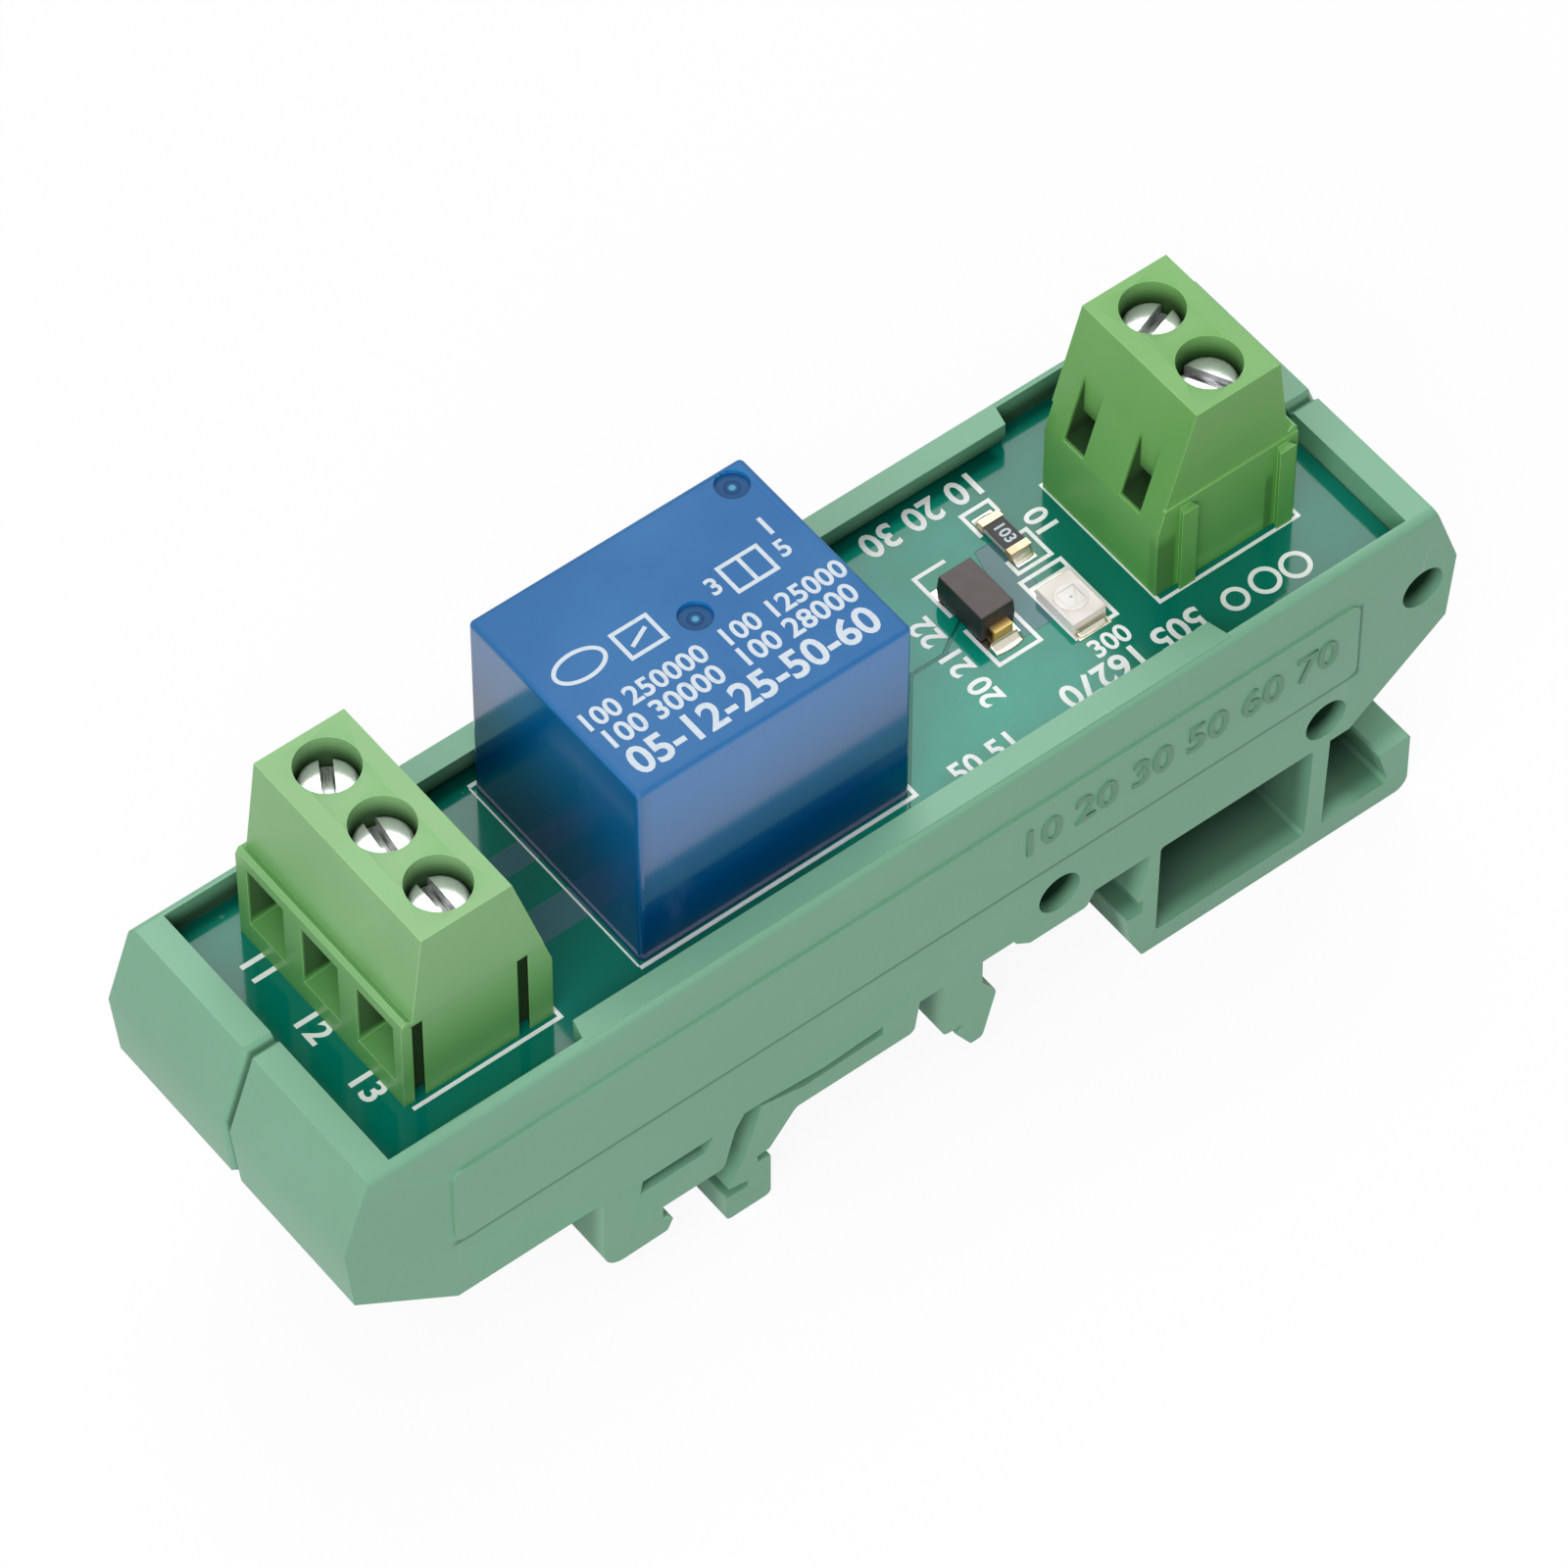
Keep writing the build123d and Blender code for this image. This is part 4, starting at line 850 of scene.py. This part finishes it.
# Plain numbers: words, x, y, height in mm and turn in degrees
boardNumbers = [("11", -33.55, rowY / mm + 5.08, 2.3, -90), ("12", -33.55, rowY / mm, 2.3, -90),
                ("13", -33.55, rowY / mm - 5.08, 2.3, -90), ("10 20 30", 15.7, 8.2, 2.45, 180),
                ("10", 20.9, 3.5, 2.1, 90), ("20 21 22", 10.6, -1.5, 2.1, 90), ("300", 18.4, -5.75, 1.8, 0),
                ("505 16270", 18.7, -7.4, 2.4, 180), ("50 51", 7.6, -7.9, 2.1, 0)]
for index, (words, x, y, size, turn) in enumerate(boardNumbers):
    printedText(f"boardNumber{index + 1}", words, x, y, size, radians(turn), boardTop, looks["whiteInk"])
chipLow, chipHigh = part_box("chip_resistor")
printedText("resistorNumber", "103", (chipLow.x + chipHigh.x) / 2 / mm, (chipLow.y + chipHigh.y) / 2 / mm,
            1.05, radians(-90), chipHigh.z - 0.012 * mm, looks["silverInk"])

# The relay's top: three rows of plain numbers and small plain outlines
topLevel = relayHigh.z - relayPrint["setBack"]
relayNumbers = [("100 250000  100 125000", -6.9, -1.55, 1.82), ("100 30000  100 28000", -7.0, -3.25, 1.92),
                ("05-12-25-50-60", -6.95, -5.4, 2.7), ("1", 0.6, 3.3, 1.9), ("3", -4.3, 1.7, 1.7),
                ("5", 0.4, 1.5, 1.7)]
for index, (words, x, y, size) in enumerate(relayNumbers):
    printedText(f"relayNumber{index + 1}", words, x, y, size, 0.0, topLevel, looks["silverInk"])
ovalPlace, ovalRadii = (-13.5, 1.9), (1.65, 0.95)
oval = circlePath(0, 0, 1, 40) * ovalRadii + ovalPlace
diagram = [(oval, True), ([(-10.9, 0.5), (-8.5, 0.5), (-8.5, 2.5), (-10.9, 2.5)], True),
           ([(-10.4, 1.15), (-9.0, 1.85)], False),
           ([(-3.4, 0.6), (-0.7, 0.6), (-0.7, 2.6), (-3.4, 2.6)], True),
           ([(-2.05, 0.73), (-2.05, 2.47)], False)]
printedLines("relayDiagram", diagram, 0.26 * mm, relayPrint["thick"], topLevel, looks["silverInk"])
print("print laid on")


# Solder at the small parts: a hollow fillet from the end face's upright edge down to the pad.
# Along the fillet the section is a quarter of a circle: out = r (1 - sin t), up = r (1 - cos t).
def solderFillet(name, x, y, level, width, reach, height, direction):
    along = np.linspace(-1, 1, 17)[:, None]
    turn = np.linspace(0, pi / 2, 9)[None, :]
    fade = np.sqrt(np.clip(1 - 0.35 * along ** 2, 0, 1))
    out = reach * fade * (1 - np.sin(turn))
    up = height * fade * (1 - np.cos(turn))
    points = np.stack([x + width / 2 * along + 0 * out, y + direction * out, level + up], axis=-1)
    back = points.copy()
    back[:, :, 1] = y - direction * 0.03 * mm
    back[:, :, 2] = level + height * 0.02
    shell = np.concatenate([points.reshape(-1, 3), back.reshape(-1, 3)])
    rows, columns = points.shape[:2]
    outer = gridFaces(rows, columns)
    inner = gridFaces(rows, columns)[:, ::-1] + rows * columns
    grid = np.arange(rows * columns).reshape(rows, columns)
    rim = np.concatenate([grid[:, 0], grid[-1, 1:], grid[-2::-1, -1], grid[0, -2:0:-1]])
    after = np.roll(rim, -1)
    wall = np.stack([after, rim, rim + rows * columns, after + rows * columns], axis=-1)
    piece = newPiece(name, shell, np.concatenate([outer, inner, wall]), looks["solder"])
    fixNormals(piece)
    piece.data.shade_smooth()


# Width, reach and height of the solder in mm. The diode's front lead stands in a puddle, out over the board.
solderSizes = {"resistor": (1.35, 0.5, 0.45), "lamp": (2.0, 0.42, 0.3), "diode": (2.0, 0.8, 0.42)}
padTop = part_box("solder_pads")[1].z
for label, node in (("resistor", "resistor_end_caps"), ("lamp", "led_terminals"), ("diode", "diode_leads")):
    low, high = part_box(node)
    middle = (low.x + high.x) / 2
    sizes = [size * mm for size in solderSizes[label]]
    if label != "diode":
        solderFillet(label + "SolderBack", middle, high.y, padTop, *sizes, 1)
    solderFillet(label + "SolderFront", middle, low.y, boardTop if label == "diode" else padTop, *sizes, -1)

# Coil: turns of wire side by side, a ring surface whose radius rises and falls once for each turn
coilWinding = {"turns": 22, "ripple": 0.06 * mm, "sides": 96, "steps": 6, "bore": 0.62}  # share of the radius


def windCoil():
    low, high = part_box("relay_coil_winding")
    middle = (low + high) / 2
    radius = (high.x - low.x) / 2
    inner = radius * coilWinding["bore"]
    up = np.linspace(0, 1, coilWinding["turns"] * coilWinding["steps"] + 1)
    ripple = coilWinding["ripple"] * np.abs(np.sin(pi * coilWinding["turns"] * up))
    radii = np.concatenate([[inner], radius - coilWinding["ripple"] + ripple, [inner]])
    levels = np.concatenate([[low.z], low.z + (high.z - low.z) * up, [high.z]])
    turn = np.linspace(0, 2 * pi, coilWinding["sides"], endpoint=False)
    points = np.stack([middle.x + radii[:, None] * np.cos(turn), middle.y + radii[:, None] * np.sin(turn),
                       np.broadcast_to(levels[:, None], (len(radii), len(turn)))], axis=-1).reshape(-1, 3)
    faces = gridFaces(len(radii), len(turn), roundColumns=True, roundRows=True)
    piece = newPiece("coilTurns", points, faces, looks["copper"])
    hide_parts("relay_coil_winding")
    fixNormals(piece)
    piece.data.shade_smooth()


windCoil()
print("solder and coil made")


# Floor, light and camera. A lamp has a place in metres, a size and a power.
studio = {"floorHalf": 3.0, "floorColor": (0.42, 0.42, 0.42, 1.0), "floorCloud": (0.40, 0.40, 0.40, 1.0),
          "floorWhite": 0.80, "floorGlow": 1.15, "worldLight": 0.30, "lampAim": (0, 0, 0.02),
          "lamps": {"keyLight": ((0.28, 0.36, 0.60), 0.50, 2.2),
                    "topLight": ((-0.20, -0.05, 0.70), 0.40, 0.7),
                    "fillLight": ((-0.25, -0.21, 0.24), 0.30, 0.95)}}


def floorMaterial():
    wire, place, finish = startMaterial("paleFloor")
    tree = wire.tree
    color = wire.blend(wire.noise(place, 3.0, 2.0, 0.5), studio["floorColor"], studio["floorCloud"])
    material = finish(Base_Color=color, Roughness=0.9, Specular_IOR_Level=0.1)
    # Camera and glossy rays see it almost white
    seen = wire.add("ShaderNodeLightPath") + wire.add("ShaderNodeLightPath", output=3)
    white = wire.add("ShaderNodeEmission", None, {"Color": (1, 1, 1, 1), "Strength": studio["floorGlow"]})
    shader = Wire(tree, tree.nodes["Principled BSDF"].outputs[0])
    mixed = wire.add("ShaderNodeMixShader", None, {0: seen * studio["floorWhite"], 1: shader, 2: white})
    tree.links.new(mixed.socket, tree.nodes["Material Output"].inputs["Surface"])
    return material


def makeStage():
    half = studio["floorHalf"]
    mesh = bpy.data.meshes.new("studioFloor")
    mesh.from_pydata([(-half, -half, 0), (half, -half, 0), (half, half, 0), (-half, half, 0)], [],
                     [(0, 1, 2, 3)])
    mesh.materials.append(floorMaterial())
    floor = addObject("studioFloor", mesh)

    # The world lights softly, and camera, glossy and transmission rays see it white
    world = bpy.data.worlds.new("studioWorld")
    world.use_nodes = True
    bpy.context.scene.world = world
    wire = Wire(world.node_tree)
    camera = wire.add("ShaderNodeLightPath")
    glossy = wire.add("ShaderNodeLightPath", output=3)
    through = wire.add("ShaderNodeLightPath", output=6)
    shown = (camera + glossy + through).spread(0.0, 1.0)
    ground = world.node_tree.nodes["Background"]
    ground.inputs["Color"].default_value = (1, 1, 1, 1)
    strength = studio["worldLight"] + (1.0 - studio["worldLight"]) * shown
    world.node_tree.links.new(strength.socket, ground.inputs["Strength"])


# Puts a lamp or camera at a place, looking at another
def aimed(name, data, place, aim):
    holder = addObject(name, data)
    holder.location = place
    holder.rotation_euler = (Vector(aim) - Vector(place)).to_track_quat("-Z", "Y").to_euler()
    return holder


def areaLamp(name, place, size, power):
    lamp = bpy.data.lights.new(name, "AREA")
    lamp.shape = "SQUARE"
    lamp.size = size
    lamp.energy = power
    aimed(name, lamp, place, studio["lampAim"])


# All in mm
view = {"place": (-208.948, -266.920, 467.375), "aim": (-2.543, -2.328, 23.5), "lens": 226.43, "sensor": 36.0}


def setCamera():
    camera = bpy.data.cameras.new("viewpoint")
    camera.lens = view["lens"]
    camera.sensor_width = view["sensor"]
    camera.sensor_fit = "HORIZONTAL"
    camera.clip_start = 0.01
    bpy.context.scene.camera = aimed("viewpoint", camera, Vector(view["place"]) * mm,
                                     Vector(view["aim"]) * mm)


makeStage()
for name, (place, size, power) in studio["lamps"].items():
    areaLamp(name, place, size, power)
setCamera()
bpy.context.scene.view_settings.view_transform = "Standard"
print("stage, light and camera set")
